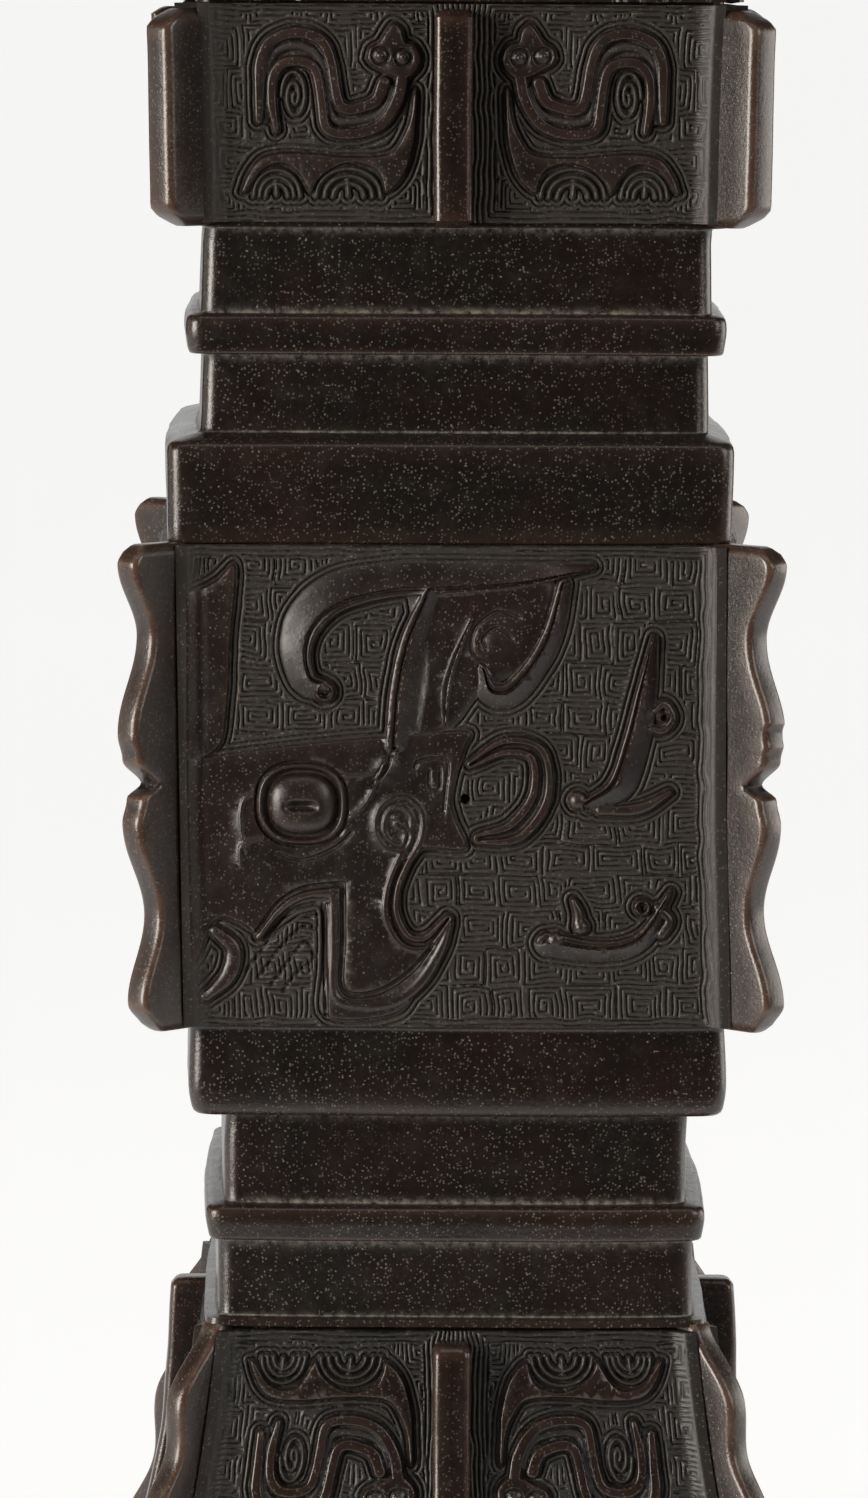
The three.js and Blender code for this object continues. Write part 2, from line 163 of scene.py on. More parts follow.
def grid_piece(name: str, points: np.ndarray) -> bpy.types.Object:
    """Add a grid and lay its corners out.

    Args:
        name: Name of the piece.
        points: Corners in millimetres, rows by columns by 3. Columns run right and rows run up
            on the side that faces out.

    Returns:
        The new object, at the origin.
    """
    clear_selection()
    rows, columns = points.shape[:2]
    bpy.ops.mesh.primitive_grid_add(x_subdivisions=columns - 1, y_subdivisions=rows - 1, size=2.0)
    piece = bpy.context.object
    piece.name = piece.data.name = name
    flat = corners_of(piece)
    order = np.lexsort((flat[:, 0].round(5), flat[:, 1].round(5)))
    placed = np.empty_like(flat)
    placed[order] = points.reshape(-1, 3) * METRES
    move_corners(piece, placed)
    return piece


def weld(piece: bpy.types.Object, gap: float) -> None:
    """Merge corners of a piece that lie within a gap in millimetres."""
    activate(piece)
    bpy.ops.object.mode_set(mode="EDIT")
    bpy.ops.mesh.select_all(action="SELECT")
    bpy.ops.mesh.remove_doubles(threshold=gap * METRES)
    bpy.ops.object.mode_set(mode="OBJECT")


def modify(piece: bpy.types.Object, kind: str, **settings: object) -> None:
    """Add a modifier to a piece and apply it.

    Args:
        piece: The piece.
        kind: Blender's name of the modifier type.
        **settings: Values of the modifier.
    """
    activate(piece)
    modifier = piece.modifiers.new(kind.lower(), kind)
    for key, value in settings.items():
        setattr(modifier, key, value)
    bpy.ops.object.modifier_apply(modifier=modifier.name)


def thin_out(piece: bpy.types.Object, triangles: int) -> None:
    """Reduce a piece to a number of triangles, where it has more."""
    piece.data.calc_loop_triangles()
    have = len(piece.data.loop_triangles)
    if have > triangles:
        modify(piece, "DECIMATE", ratio=triangles / have)


def turned_copy(piece: bpy.types.Object, name: str, quarter_turns: int,
                mirrored: bool = False) -> bpy.types.Object:
    """Copy a piece to another side of the vase.

    Args:
        piece: The piece of the front side.
        name: Name of the copy.
        quarter_turns: Quarter turns about the axis.
        mirrored: Whether the copy is first mirrored from left to right.

    Returns:
        The copy, with its own mesh.
    """
    copy = piece.copy()
    copy.data = piece.data.copy()
    copy.name = copy.data.name = name
    bpy.context.collection.objects.link(copy)
    places = corners_of(copy)
    if mirrored:
        places[:, 0] *= -1.0
        copy.data.flip_normals()
    angle = quarter_turns * math.pi / 2
    turn = np.array([[math.cos(angle), -math.sin(angle)], [math.sin(angle), math.cos(angle)]])
    places[:, :2] = places[:, :2] @ turn.T
    move_corners(copy, places)
    return copy


def mark_relief(piece: bpy.types.Object, edge_bend: float) -> None:
    """Store how far each corner of a mesh stands out as an edge or lies in a hollow.

    Args:
        piece: The piece to mark. It gets the attributes edge and hollow, from 0 to 1.
        edge_bend: Bend, in turns for each millimetre, that counts as a full edge.
    """
    mesh = piece.data
    count = len(mesh.vertices)
    normal = np.empty(count * 3)
    ends = np.empty(len(mesh.edges) * 2, dtype=np.int64)
    mesh.vertex_normals.foreach_get("vector", normal)
    mesh.edges.foreach_get("vertices", ends)
    place, normal = corners_of(piece) / METRES, normal.reshape(-1, 3)
    a, b = ends.reshape(-1, 2).T
    along = place[a] - place[b]
    length = np.maximum(np.linalg.norm(along, axis=1), 1e-4)
    bend = np.einsum("ij,ij->i", normal[a] - normal[b], along) / length**2
    degree = np.maximum(np.bincount(ends, minlength=count), 1)

    def gather(at_a: np.ndarray, at_b: np.ndarray) -> np.ndarray:
        """Average over each corner's edges what they bring to their ends."""
        return (np.bincount(a, at_a, count) + np.bincount(b, at_b, count)) / degree

    curve = gather(bend, bend)
    curve = (0.5 * curve + 0.5 * gather(curve[b], curve[a])) / edge_bend
    store_marks(piece, {"edge": np.clip(curve, 0.0, 1.0), "hollow": np.clip(-curve, 0.0, 1.0)})


def lean(piece: bpy.types.Object) -> None:
    """Shift each level of a piece sideways, as the hand-made sections sit a little off the axis."""
    heights = (0, 66, 84, 88, 96, 99, 108, 118, 145, 146, 156, 157, 176, 177.5, 200, 230)
    shifts = (0.5, 0.5, 0.3, 0.5, 0.45, 0.25, 0.0, -0.38, -0.45, -0.6, -0.6, -0.1, 0.0, 0.25, 0.25, 0.0)
    places = corners_of(piece)
    places[:, 0] += np.interp(places[:, 2] / METRES, heights, shifts) * METRES
    move_corners(piece, places)


def finish_piece(piece: bpy.types.Object, material: bpy.types.Material, smooth_degrees: float) -> None:
    """Shade, dress and place a finished piece on the vase.

    Args:
        piece: The piece.
        material: Its finish.
        smooth_degrees: Angle under which neighbouring faces are shaded smooth.
    """
    lean(piece)
    activate(piece)
    bpy.ops.object.shade_smooth_by_angle(angle=math.radians(smooth_degrees))
    piece.data.materials.clear()
    piece.data.materials.append(material)
    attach(piece, "root")
    LOG.info("%s: %d faces", piece.name, len(piece.data.polygons))


# Sizes that the pieces share


def summed(*parts: str) -> property:
    """A height that is the sum of other sizes of its class."""
    return property(lambda sizes: sum(getattr(sizes, part) for part in parts))


@dataclass(frozen=True)
class Stack:
    """Band heights and half widths of the vase, from the standing edge to the mouth."""

    plinth_height: float = 9.0
    foot_height: float = 66.7
    low_neck_height: float = 7.9
    low_moulding_height: float = 3.7
    waist_neck_height: float = 9.4
    low_band_height: float = 9.2
    body_height: float = 48.9
    shoulder_height: float = 9.9
    ledge_height: float = 0.9
    high_neck_height: float = 7.8
    high_moulding_height: float = 4.1
    top_neck_height: float = 8.7
    trumpet_height: float = 122.7
    plinth_half: float = 47.0
    plinth_setback: float = 2.2
    foot_top_half: float = 25.4
    foot_slope: float = 0.105
    foot_flare_power: float = 2.8
    low_neck_half: float = 24.2
    low_moulding_half: float = 25.4
    waist_neck_half: float = 23.5
    low_band_half: float = 27.25
    body_half: float = 28.7
    shoulder_half: float = 28.4
    high_neck_half: float = 25.3
    high_moulding_half: float = 27.1
    top_neck_half: float = 25.6
    trumpet_bottom_half: float = 26.9
    trumpet_slope: float = 0.012
    trumpet_flare_power: float = 3.0
    mouth_half: float = 78.0
    corner_radius: float = 1.6
    side_bow: float = 0.5
    wall: float = 3.3
    floor_top: float = 95.0
    floor_thickness: float = 4.5
    foot_panel_drop: float = 23.1
    foot_panel_gap: float = 1.0

    # Heights where the bands begin, from the foot up to the mouth
    low_moulding_z = summed("foot_height", "low_neck_height")
    waist_neck_z = summed("low_moulding_z", "low_moulding_height")
    low_band_z = summed("waist_neck_z", "waist_neck_height")
    body_z = summed("low_band_z", "low_band_height")
    shoulder_z = summed("body_z", "body_height")
    high_neck_z = summed("shoulder_z", "shoulder_height", "ledge_height")
    high_moulding_z = summed("high_neck_z", "high_neck_height")
    top_neck_z = summed("high_moulding_z", "high_moulding_height")
    trumpet_z = summed("top_neck_z", "top_neck_height")
    mouth_z = summed("trumpet_z", "trumpet_height")

    def foot_half_at(self, z: np.ndarray) -> np.ndarray:
        """Half width of the foot at a height."""
        full = self.foot_height - self.plinth_height
        depth = np.clip(self.foot_height - z, 0.0, full)
        straight = self.foot_top_half + self.foot_slope * depth
        swell = self.plinth_half - self.plinth_setback - self.foot_top_half - self.foot_slope * full
        return straight + swell * (depth / full) ** self.foot_flare_power

    def trumpet_half_at(self, z: np.ndarray) -> np.ndarray:
        """Half width of the trumpet at a height."""
        rise = np.maximum(z - self.trumpet_z, 0.0)
        straight = self.trumpet_bottom_half + self.trumpet_slope * rise
        swell = self.mouth_half - self.trumpet_bottom_half - self.trumpet_slope * self.trumpet_height
        return straight + swell * (rise / self.trumpet_height) ** self.trumpet_flare_power

    def corner_of(self, half: float) -> float:
        """Distance from the axis to the rounded corner of a level."""
        return math.sqrt(2.0) * (half - self.corner_radius) + self.corner_radius

    def bow_at(self, across: np.ndarray, half: np.ndarray) -> np.ndarray:
        """How far the bowed side stands out beyond its half width."""
        share = np.clip(across / (half - self.corner_radius), -1.0, 1.0)
        return self.side_bow * (1.0 - share**2)


# Finishes


class Groups:
    """Shader node groups that the finishes share, each built once."""

    color = "NodeSocketColor"
    value = "NodeSocketFloat"

    def __init__(self) -> None:
        """Build every group."""
        self.tone = self._tone()
        self.dust = self._dust()
        self.surface = self._surface()

    @staticmethod
    def _start(name: str, inputs: Sequence[tuple], outputs: Sequence[tuple]) -> tuple:
        """Open a node group.

        Args:
            name: Name of the group.
            inputs: Name, socket type and default of each input.
            outputs: Name and socket type of each output.

        Returns:
            The wiring of the group, its inputs, its outputs, and the coordinates of the object.
        """
        group = bpy.data.node_groups.new(name, "ShaderNodeTree")
        for label, kind, default in inputs:
            group.interface.new_socket(label, in_out="INPUT", socket_type=kind).default_value = default
        for label, kind in outputs:
            group.interface.new_socket(label, in_out="OUTPUT", socket_type=kind)
        given, result = group.nodes.new("NodeGroupInput"), group.nodes.new("NodeGroupOutput")
        wires = Wiring(group)
        return wires, given.outputs, result.inputs, wires.node("TexCoord", {})["Object"]

    def _tone(self) -> bpy.types.NodeTree:
        """Colour of the patina: dark brown with red-brown and olive drifts."""
        wires, given, result, coords = self._start(
            "patina_tone",
            [("Dark", self.color, (0.01, 0.008, 0.006, 1)), ("Red", self.color, (0.03, 0.01, 0.006, 1)),
             ("Olive", self.color, (0.03, 0.025, 0.015, 1)), ("Red Amount", self.value, 0.5),
             ("Olive Amount", self.value, 0.5)],
            [("Color", self.color), ("Drift", self.value), ("Mottle", self.value)])
        fine = wires.noise(coords, 420.0, 5.0, 0.65)
        red = wires.ramp(wires.noise(coords, 70.0, 4.0, 0.6), 0.42, 0.68)
        red = wires.math("MULTIPLY", red, given["Red Amount"])
        olive = wires.math("MULTIPLY", wires.ramp(fine, 0.48, 0.72), given["Olive Amount"])
        brown = wires.mix(given["Dark"], given["Red"], red)
        wires.feed(result["Color"], wires.mix(brown, given["Olive"], olive))
        wires.feed(result["Drift"], fine)
        wires.feed(result["Mottle"], wires.ramp(wires.noise(coords, 1900.0, 4.0, 0.7), 0.45, 0.72))
        return wires.tree

    def _dust(self) -> bpy.types.NodeTree:
        """Mask of pale dust: specks all over and a film in the hollows."""
        wires, given, result, coords = self._start(
            "dust_film",
            [("Hollow", self.value, 0.0), ("Specks", self.value, 0.5), ("Film", self.value, 0.5)],
            [("Mask", self.value)])
        spots = wires.speckle(wires.warped(coords, 700.0, 0.0006), 1500.0, 0.20, 0.64)
        grains = wires.speckle(wires.warped(coords, 500.0, 0.0008), 3000.0, 0.42, 0.50)
        threads = wires.stretched(coords, (260.0, 260.0, 1500.0), (0.7, 0.4, 0.9))
        lint = wires.speckle(threads, 1.0, 0.10, 0.90)
        patch = wires.ramp(wires.noise(coords, 80.0, 4.0, 0.6), 0.22, 0.58)
        grains = wires.math("MULTIPLY", wires.math("MULTIPLY", grains, patch), 0.6)
        specks = wires.math("MAXIMUM", wires.math("MAXIMUM", spots, grains), lint)
        specks = wires.math("MULTIPLY", specks, given["Specks"])
        breakup = wires.ramp(wires.noise(coords, 1300.0, 4.0, 0.7), 0.30, 0.72)
        film = wires.math("MULTIPLY", wires.math("POWER", given["Hollow"], 5.0), breakup)
        film = wires.math("MULTIPLY", film, given["Film"])
        wires.feed(result["Mask"], wires.math("MAXIMUM", specks, film))
        return wires.tree

    def _surface(self) -> bpy.types.NodeTree:
        """Height of the cast surface: soft dents, fine grain, brush strokes and small pits."""
        wires, given, result, coords = self._start(
            "cast_surface",
            [("Dents", self.value, 0.5), ("Grain", self.value, 0.5), ("Pits", self.value, 0.5),
             ("Strokes", self.value, 0.0)],
            [("Height", self.value)])
        brushed = wires.stretched(coords, (60.0, 60.0, 2200.0), (0.0, 0.0, 0.0))
        dents = wires.math("MULTIPLY", wires.noise(coords, 260.0, 3.0, 0.55), given["Dents"])
        grain = wires.math("MULTIPLY", wires.noise(coords, 2600.0, 4.0, 0.65), given["Grain"])
        pits = wires.math("MULTIPLY", wires.speckle(coords, 900.0, 0.16, 0.86), given["Pits"])
        strokes = wires.math("MULTIPLY", wires.noise(brushed, 1.0, 3.0, 0.6), given["Strokes"])
        height = wires.math("ADD", wires.math("ADD", dents, grain), strokes)
        wires.feed(result["Height"], wires.math("SUBTRACT", height, pits))
        return wires.tree


class Wiring:
    """Short ways to add and join nodes in the tree of a material or of a node group."""

    def __init__(self, tree: bpy.types.NodeTree) -> None:
        """Keep the tree."""
        self.tree = tree

    def feed(self, socket: bpy.types.NodeSocket, value: object) -> None:
        """Join an output to a socket, or set the socket's plain value."""
        if isinstance(value, bpy.types.NodeSocket):
            self.tree.links.new(value, socket)
        else:
            socket.default_value = value

    def node(self, kind: str, inputs: dict, **settings: object) -> bpy.types.bpy_prop_collection:
        """Add a shader node.

        Args:
            kind: Its type.
            inputs: What feeds its inputs, an output of another node or a plain value.
            **settings: Values of the node itself.

        Returns:
            Its outputs.
        """
        node = self.tree.nodes.new(f"ShaderNode{kind}")
        for name, value in settings.items():
            setattr(node, name, value)
        for label, value in inputs.items():
            self.feed(node.inputs[label], value)
        return node.outputs

    def mark(self, name: str) -> bpy.types.NodeSocket:
        """Value of a mark stored on the mesh."""
        return self.node("Attribute", {}, attribute_name=name)["Fac"]

    def math(self, operation: str, first: object, second: object) -> bpy.types.NodeSocket:
        """Combine two values."""
        return self.node("Math", {0: first, 1: second}, operation=operation)[0]

    def ramp(self, value: object, low: float, high: float) -> bpy.types.NodeSocket:
        """Stretch a value so that low gives 0 and high gives 1, smoothly."""
        inputs = {"Value": value, "From Min": low, "From Max": high}
        return self.node("MapRange", inputs, interpolation_type="SMOOTHSTEP")["Result"]

    def span(self, value: object, low: float, high: float) -> bpy.types.NodeSocket:
        """Stretch a value from 0 and 1 to low and high."""
        return self.node("MapRange", {"Value": value, "To Min": low, "To Max": high})["Result"]

    def mix(self, first: object, second: object, factor: object) -> bpy.types.NodeSocket:
        """Blend two colours."""
        return self.node("Mix", {0: factor, 6: first, 7: second}, data_type="RGBA")[2]

    def noise(self, coords: bpy.types.NodeSocket, scale: float, detail: float,
              roughness: float) -> bpy.types.NodeSocket:
        """Noise over coordinates."""
        inputs = {"Vector": coords, "Scale": scale, "Detail": detail, "Roughness": roughness}
        return self.node("TexNoise", inputs)["Fac"]

    def stretched(self, coords: bpy.types.NodeSocket, scale: tuple, turn: tuple) -> bpy.types.NodeSocket:
        """Coordinates stretched and turned."""
        return self.node("Mapping", {"Vector": coords, "Rotation": turn, "Scale": scale})["Vector"]

    def warped(self, coords: bpy.types.NodeSocket, scale: float, amount: float) -> bpy.types.NodeSocket:
        """Coordinates pushed about by noise, so that dots lose their round shape."""
        push = self.node("TexNoise", {"Vector": coords, "Scale": scale})["Color"]
        inputs = {0: push, 1: (amount,) * 3, 2: coords}
        return self.node("VectorMath", inputs, operation="MULTIPLY_ADD")["Vector"]

    def speckle(self, coords: bpy.types.NodeSocket, scale: float, radius: float,
                rarity: float) -> bpy.types.NodeSocket:
        """Scattered soft dots.

        Args:
            coords: Coordinates to scatter over.
            scale: Cells for each metre.
            radius: Radius of a dot, as a share of its cell.
            rarity: Share of the cells that stay empty.

        Returns:
            The mask of the dots.
        """
        cells = self.node("TexVoronoi", {"Vector": coords, "Scale": scale})
        draw = self.node("SeparateColor", {0: cells["Color"]})[0]
        chosen = self.ramp(draw, rarity, rarity + 0.06)
        return self.math("MULTIPLY", chosen, self.ramp(cells["Distance"], radius, radius * 0.4))


@dataclass(frozen=True)
class BronzeFinish:
    """Dark brown patinated bronze, waxed and worn, with dust; its edges and ridges are painted lighter,
    partly as wear and partly as painted highlight.
    """

    name: str
    dark: tuple = (0.0058, 0.0040, 0.0032, 1.0)
    red: tuple = (0.0190, 0.0052, 0.0034, 1.0)
    olive: tuple = (0.0150, 0.0115, 0.0070, 1.0)
    matt: tuple = (0.0185, 0.0138, 0.0098, 1.0)
    # Lighter colours of edges and of the ground's ridges: wear and painted highlight.
    worn_and_highlight: tuple = (0.0720, 0.0400, 0.0270, 1.0)
    ridge_and_highlight: tuple = (0.0480, 0.0400, 0.0310, 1.0)
    dust: tuple = (0.1900, 0.1700, 0.1400, 1.0)
    smooth_red: float = 0.0
    mottle: float = 0.5
    flat_mottle: float = 1.0
    red_amount: float = 0.45
    olive_amount: float = 0.45
    specks: float = 0.85
    film: float = 0.22
    wear_and_highlight: float = 0.55
    roughness: float = 0.36
    strokes: float = 0.0
    dents: float = 0.5
    grain: float = 0.35
    pits: float = 0.6
    bump_mm: float = 0.05
    gloss_coat: float = 0.15
    coat_roughness: float = 0.16
    refraction: float = 1.55
    rub_and_highlight_least: float = 0.2
    rub_and_highlight_most: float = 1.3
    ground_matt: float = 0.75
    gloss_below: float = 0.10
    gloss_above: float = 0.14
    dust_roughness: float = 0.45
    rubbed_gloss: float = 0.10
    ground_roughness: float = 0.19

    def build(self, groups: Groups) -> bpy.types.Material:
        """Make the material.

        Args:
            groups: The shared node groups.

        Returns:
            The finished material.
        """
        material = bpy.data.materials.new(self.name)
        material.use_nodes = True
        wires = Wiring(material.node_tree)
        edge, hollow, ground = (wires.mark(name) for name in ("edge", "hollow", "ground"))
        amounts = {"Red Amount": self.red_amount, "Olive Amount": self.olive_amount}
        tone = wires.node("Group", {"Dark": self.dark, "Red": self.red, "Olive": self.olive, **amounts},
                          node_tree=groups.tone)
        dust = wires.node("Group", {"Hollow": hollow, "Specks": self.specks, "Film": self.film},
                          node_tree=groups.dust)["Mask"]
        surface = wires.node("Group", {"Dents": self.dents, "Grain": self.grain, "Pits": self.pits,
                                       "Strokes": self.strokes}, node_tree=groups.surface)["Height"]
        # Mask of edges painted lighter, partly wear and partly painted highlight.
        rubbed_and_highlight = wires.math("MULTIPLY", edge, wires.span(tone["Drift"], self.rub_and_highlight_least, self.rub_and_highlight_most))
        rubbed_and_highlight = wires.math("MULTIPLY", rubbed_and_highlight, self.wear_and_highlight)
        flat = wires.math("SUBTRACT", 1.0, ground)
        mottle = wires.math("MULTIPLY", tone["Mottle"], wires.span(ground, self.flat_mottle, 1.0))
        color = wires.mix(tone["Color"], self.red, wires.math("MULTIPLY", flat, self.smooth_red))
        color = wires.mix(color, self.olive, wires.math("MULTIPLY", mottle, self.mottle))
        color = wires.mix(color, self.matt, wires.math("MULTIPLY", ground, self.ground_matt))
        # Edges and ground ridges painted lighter: wear and painted highlight.
        color = wires.mix(color, wires.mix(self.worn_and_highlight, self.ridge_and_highlight, ground), rubbed_and_highlight)
        color = wires.mix(color, self.dust, dust)
        least, most = self.roughness - self.gloss_below, self.roughness + self.gloss_above
        rough = wires.span(tone["Drift"], least, most)
        rough = wires.math("ADD", rough, wires.math("MULTIPLY", dust, self.dust_roughness))
        rough = wires.math("SUBTRACT", rough, wires.math("MULTIPLY", rubbed_and_highlight, self.rubbed_gloss))
        rough = wires.math("ADD", rough, wires.math("MULTIPLY", ground, self.ground_roughness))
        bump = {"Strength": 1.0, "Distance": self.bump_mm * METRES, "Height": surface}
        shader = material.node_tree.nodes["Principled BSDF"]
        inputs = {"Base Color": color, "Roughness": rough, "Normal": wires.node("Bump", bump)["Normal"],
                  "Metallic": 0.0, "IOR": self.refraction, "Coat Weight": self.gloss_coat,
                  "Coat Roughness": self.coat_roughness}
        for label, value in inputs.items():
            wires.feed(shader.inputs[label], value)
        return material


class FinishName(Enum):
    """Where each finish is used."""

    PLAIN = BronzeFinish("bronze_plain_bands", roughness=0.28, strokes=0.25, grain=0.7, gloss_coat=0.05,
                         film=1.0, specks=0.65, mottle=0.35)
    CARVED = BronzeFinish("bronze_carved_ground", roughness=0.37, wear_and_highlight=0.29, grain=0.5, gloss_coat=0.05,
                          film=0.14, specks=0.5, smooth_red=0.14, red_amount=0.4, olive_amount=0.5,
                          flat_mottle=0.2, dark=(0.0044, 0.0030, 0.0023, 1.0))
    # Darker copy of the carved ground for the foot panel: painted shade.
    FOOT = BronzeFinish("bronze_foot_ground_painted_shade", roughness=0.28, wear_and_highlight=0.25, grain=0.5, gloss_coat=0.03,
                        film=0.10, specks=0.4, smooth_red=0.14, red_amount=0.35, olive_amount=0.4,
                        mottle=0.3, flat_mottle=0.2, dark=(0.0042, 0.0029, 0.0022, 1.0),
                        matt=(0.0070, 0.0055, 0.0042, 1.0), olive=(0.0080, 0.0060, 0.0038, 1.0),
                        ridge_and_highlight=(0.0300, 0.0240, 0.0180, 1.0))
    SPINE = BronzeFinish("bronze_middle_flanges", roughness=0.24, wear_and_highlight=0.8, grain=0.7, gloss_coat=0.03,
                         film=0.1, specks=0.4, red_amount=0.4, olive_amount=0.1, mottle=0.1,
                         dark=(0.0038, 0.0024, 0.0018, 1.0), red=(0.0130, 0.0038, 0.0022, 1.0))
    # Flange edges painted strongly lighter: wear and painted highlight.
    FLANGE = BronzeFinish("bronze_flanges", roughness=0.31, wear_and_highlight=1.1, grain=0.8, dents=0.9,
                          gloss_coat=0.12, specks=0.55, smooth_red=0.1, red_amount=0.5, mottle=0.4,
                          worn_and_highlight=(0.105, 0.060, 0.041, 1.0))


# The wall of the vase


@dataclass
class VaseWall:
    """The hollow casting itself: foot, necks, mouldings, body, trumpet and both hollows."""

    stack: Stack
    edge_round: float = 0.8
    moulding_draw: float = 0.35
    rim_round: float = 0.8
    panel_sink: float = 1.2
    cavity_radius: float = 2.5
    side_steps: int = 44
    arc_steps: int = 8
    level_gap: float = 1.6
    foot_levels: int = 24
    trumpet_levels: int = 60
    bowl_levels: int = 48
    panel_play: float = 0.2
    sink_end: float = 8.0
    sink_fade: float = 6.0
    dent_depth: float = 0.10
    waver: float = 0.10
    edge_bend: float = 0.9
    smooth_degrees: float = 40.0
    noise: LatticeNoise = field(default_factory=lambda: LatticeNoise(11))

    def outside(self) -> list[tuple[float, float, float]]:
        """Profile of the outside, from the standing edge to the rim.

        Returns:
            Half width, height and rounding of each corner of the profile.
        """
        s = self.stack
        r = self.edge_round
        sunk = s.body_half - self.panel_sink
        return [
            (s.plinth_half, 0.0, r), (s.plinth_half, s.plinth_height, r),
            *self.foot_side(),
            (s.low_neck_half, s.foot_height + 0.1, 0.25), (s.low_neck_half, s.low_moulding_z, 0.2),
            *self.moulding(s.low_moulding_z, s.low_moulding_height, s.low_moulding_half),
            (s.waist_neck_half, s.waist_neck_z, 0.2), (s.waist_neck_half, s.low_band_z - 0.1, 0.2),
            (s.low_band_half - 0.5, s.low_band_z, r), (s.low_band_half, s.low_band_z + 2.4, 1.2),
            (s.low_band_half - 0.2, s.body_z - 0.2, 0.5),
            (sunk, s.body_z + 0.2, 0.1), (sunk, s.shoulder_z - 0.2, 0.1),
            (s.shoulder_half - 0.2, s.shoulder_z, 0.3),
            (s.shoulder_half, s.shoulder_z + s.shoulder_height, 0.9),
            (s.high_neck_half + 0.2, s.high_neck_z, 0.3), (s.high_neck_half, s.high_moulding_z, 0.2),
            *self.moulding(s.high_moulding_z, s.high_moulding_height, s.high_moulding_half),
            (s.top_neck_half, s.top_neck_z, 0.2), (s.top_neck_half - 0.2, s.trumpet_z - 0.15, 0.2),
            *self.trumpet_side()]

    def foot_side(self) -> list[tuple[float, float, float]]:
        """Profile of the foot over the plinth, sunk where its carved panel lies."""
        s = self.stack
        low = s.foot_height - s.foot_panel_drop - self.panel_play
        high = s.foot_height - s.foot_panel_gap + self.panel_play
        heights = [*np.linspace(s.plinth_height, s.foot_height, self.foot_levels),
                   low - 0.1, low + 0.2, high - 0.2, high + 0.1]
        points = []
        for z in sorted(heights):
            sink = self.panel_sink if low < z < high else 0.0
            points.append((float(s.foot_half_at(z)) - sink, float(z), 0.0))
        return points

    def trumpet_side(self) -> list[tuple[float, float, float]]:
        """Profile of the trumpet with its rim, sunk up to the rim's plain band."""
        s = self.stack
        r = self.rim_round
        points = []
        for z in np.linspace(s.trumpet_z, s.mouth_z, self.trumpet_levels)[:-1]:
            sink = self.panel_sink * float(smooth((s.mouth_z - self.sink_end - z) / self.sink_fade))
            rise = min(1.0, z - s.trumpet_z)
            half = float(s.trumpet_half_at(z)) - sink * rise - 0.3 * (1.0 - rise)
            points.append((half, float(z), 0.0))
        return points + [(float(s.trumpet_half_at(s.mouth_z - r)), s.mouth_z - r, 0.3),
                         (s.mouth_half - 1.5 * r, s.mouth_z, 0.3)]

    def moulding(self, z: float, height: float, half: float) -> list[tuple[float, float, float]]:
        """Profile of a moulding: a full swell above that draws in to a thin lower lip."""
        back = self.moulding_draw
        return [(half - back, z + 0.1, 0.3), (half - 0.6 * back, z + 0.25 * height, 0.8),
                (half, z + 0.6 * height, 1.0), (half - 0.4 * back, z + height - 0.1, 0.9)]

    def inside(self) -> list[tuple[float, float, float]]:
        """Profile of the bowl, from the rim down to the middle of the floor."""
        s = self.stack
        neck, belly = s.high_neck_half - s.wall, s.body_half - s.wall
        points = self.hollow(s.trumpet_half_at, s.mouth_z, s.trumpet_z, self.bowl_levels)
        for half, z in ((neck, s.trumpet_z - s.wall), (neck, s.shoulder_z), (belly, s.shoulder_z - s.wall),
                        (belly, s.body_z + 2 * s.wall), (neck, s.body_z + s.wall)):
            points.append((half, z, 1.0))
        return points + [(neck, s.floor_top, 1.5), (0.0, s.floor_top, 0.0)]

    def underside(self) -> list[tuple[float, float, float]]:
        """Profile of the foot's hollow, from the middle of the floor down to the standing edge."""
        s = self.stack
        ceiling, waist = s.floor_top - s.floor_thickness, s.waist_neck_half - s.wall
        return [(0.0, ceiling, 0.0), (waist, ceiling, 1.5), (waist, s.waist_neck_z, 1.0),
                (s.low_neck_half - s.wall, s.foot_height, 1.0),
                *self.hollow(s.foot_half_at, s.foot_height - 6.0, s.plinth_height, self.foot_levels),
                (s.plinth_half - s.wall, s.plinth_height - s.wall, 0.8),
                (s.plinth_half - s.wall, 0.0, 0.6)]

    def hollow(self, half_at: Callable, top: float, bottom: float, levels: int) -> list[tuple]:
        """Profile of a hollow that follows the flared outside a wall's thickness behind it."""
        return [(float(half_at(z)) - self.slant_wall(half_at, z), float(z), 0.0)
                for z in np.linspace(top, bottom, levels)]

    def slant_wall(self, half_at: Callable, z: float) -> float:
        """How far the wall reaches sideways where the outside slopes."""
        step = 0.5
        slope = (half_at(z + step) - half_at(z - step)) / (2 * step)
        return self.stack.wall * math.sqrt(1.0 + float(slope) ** 2)

    def levels(self) -> np.ndarray:
        """The whole profile as closely spaced levels.

        Returns:
            Half width and height of each level, and 1 where the level is on the outside.
        """
        parts = [(self.underside(), 0.0), (self.outside(), 1.0), (self.inside(), 0.0)]
        corners = [(half, z, side, rounding) for points, side in parts for half, z, rounding in points]
        rows = [corners[0][:3]]
        for before, here, after in zip(corners, corners[1:], corners[2:]):
            rows += self.rounded(before, here, after)
        rows.append(corners[-1][:3])
        dense = [rows[0]]
        for here in rows[1:]:
            last = dense[-1]
            gap = self.level_gap if min(here[2], last[2]) > 0.5 else 4 * self.level_gap
            length = math.hypot(here[0] - last[0], here[1] - last[1])
            count = max(1, math.ceil(length / gap))
            for i in range(1, count + 1):
                t = i / count
                dense.append(tuple(a + (b - a) * t for a, b in zip(last, here)))
        return np.array(dense)

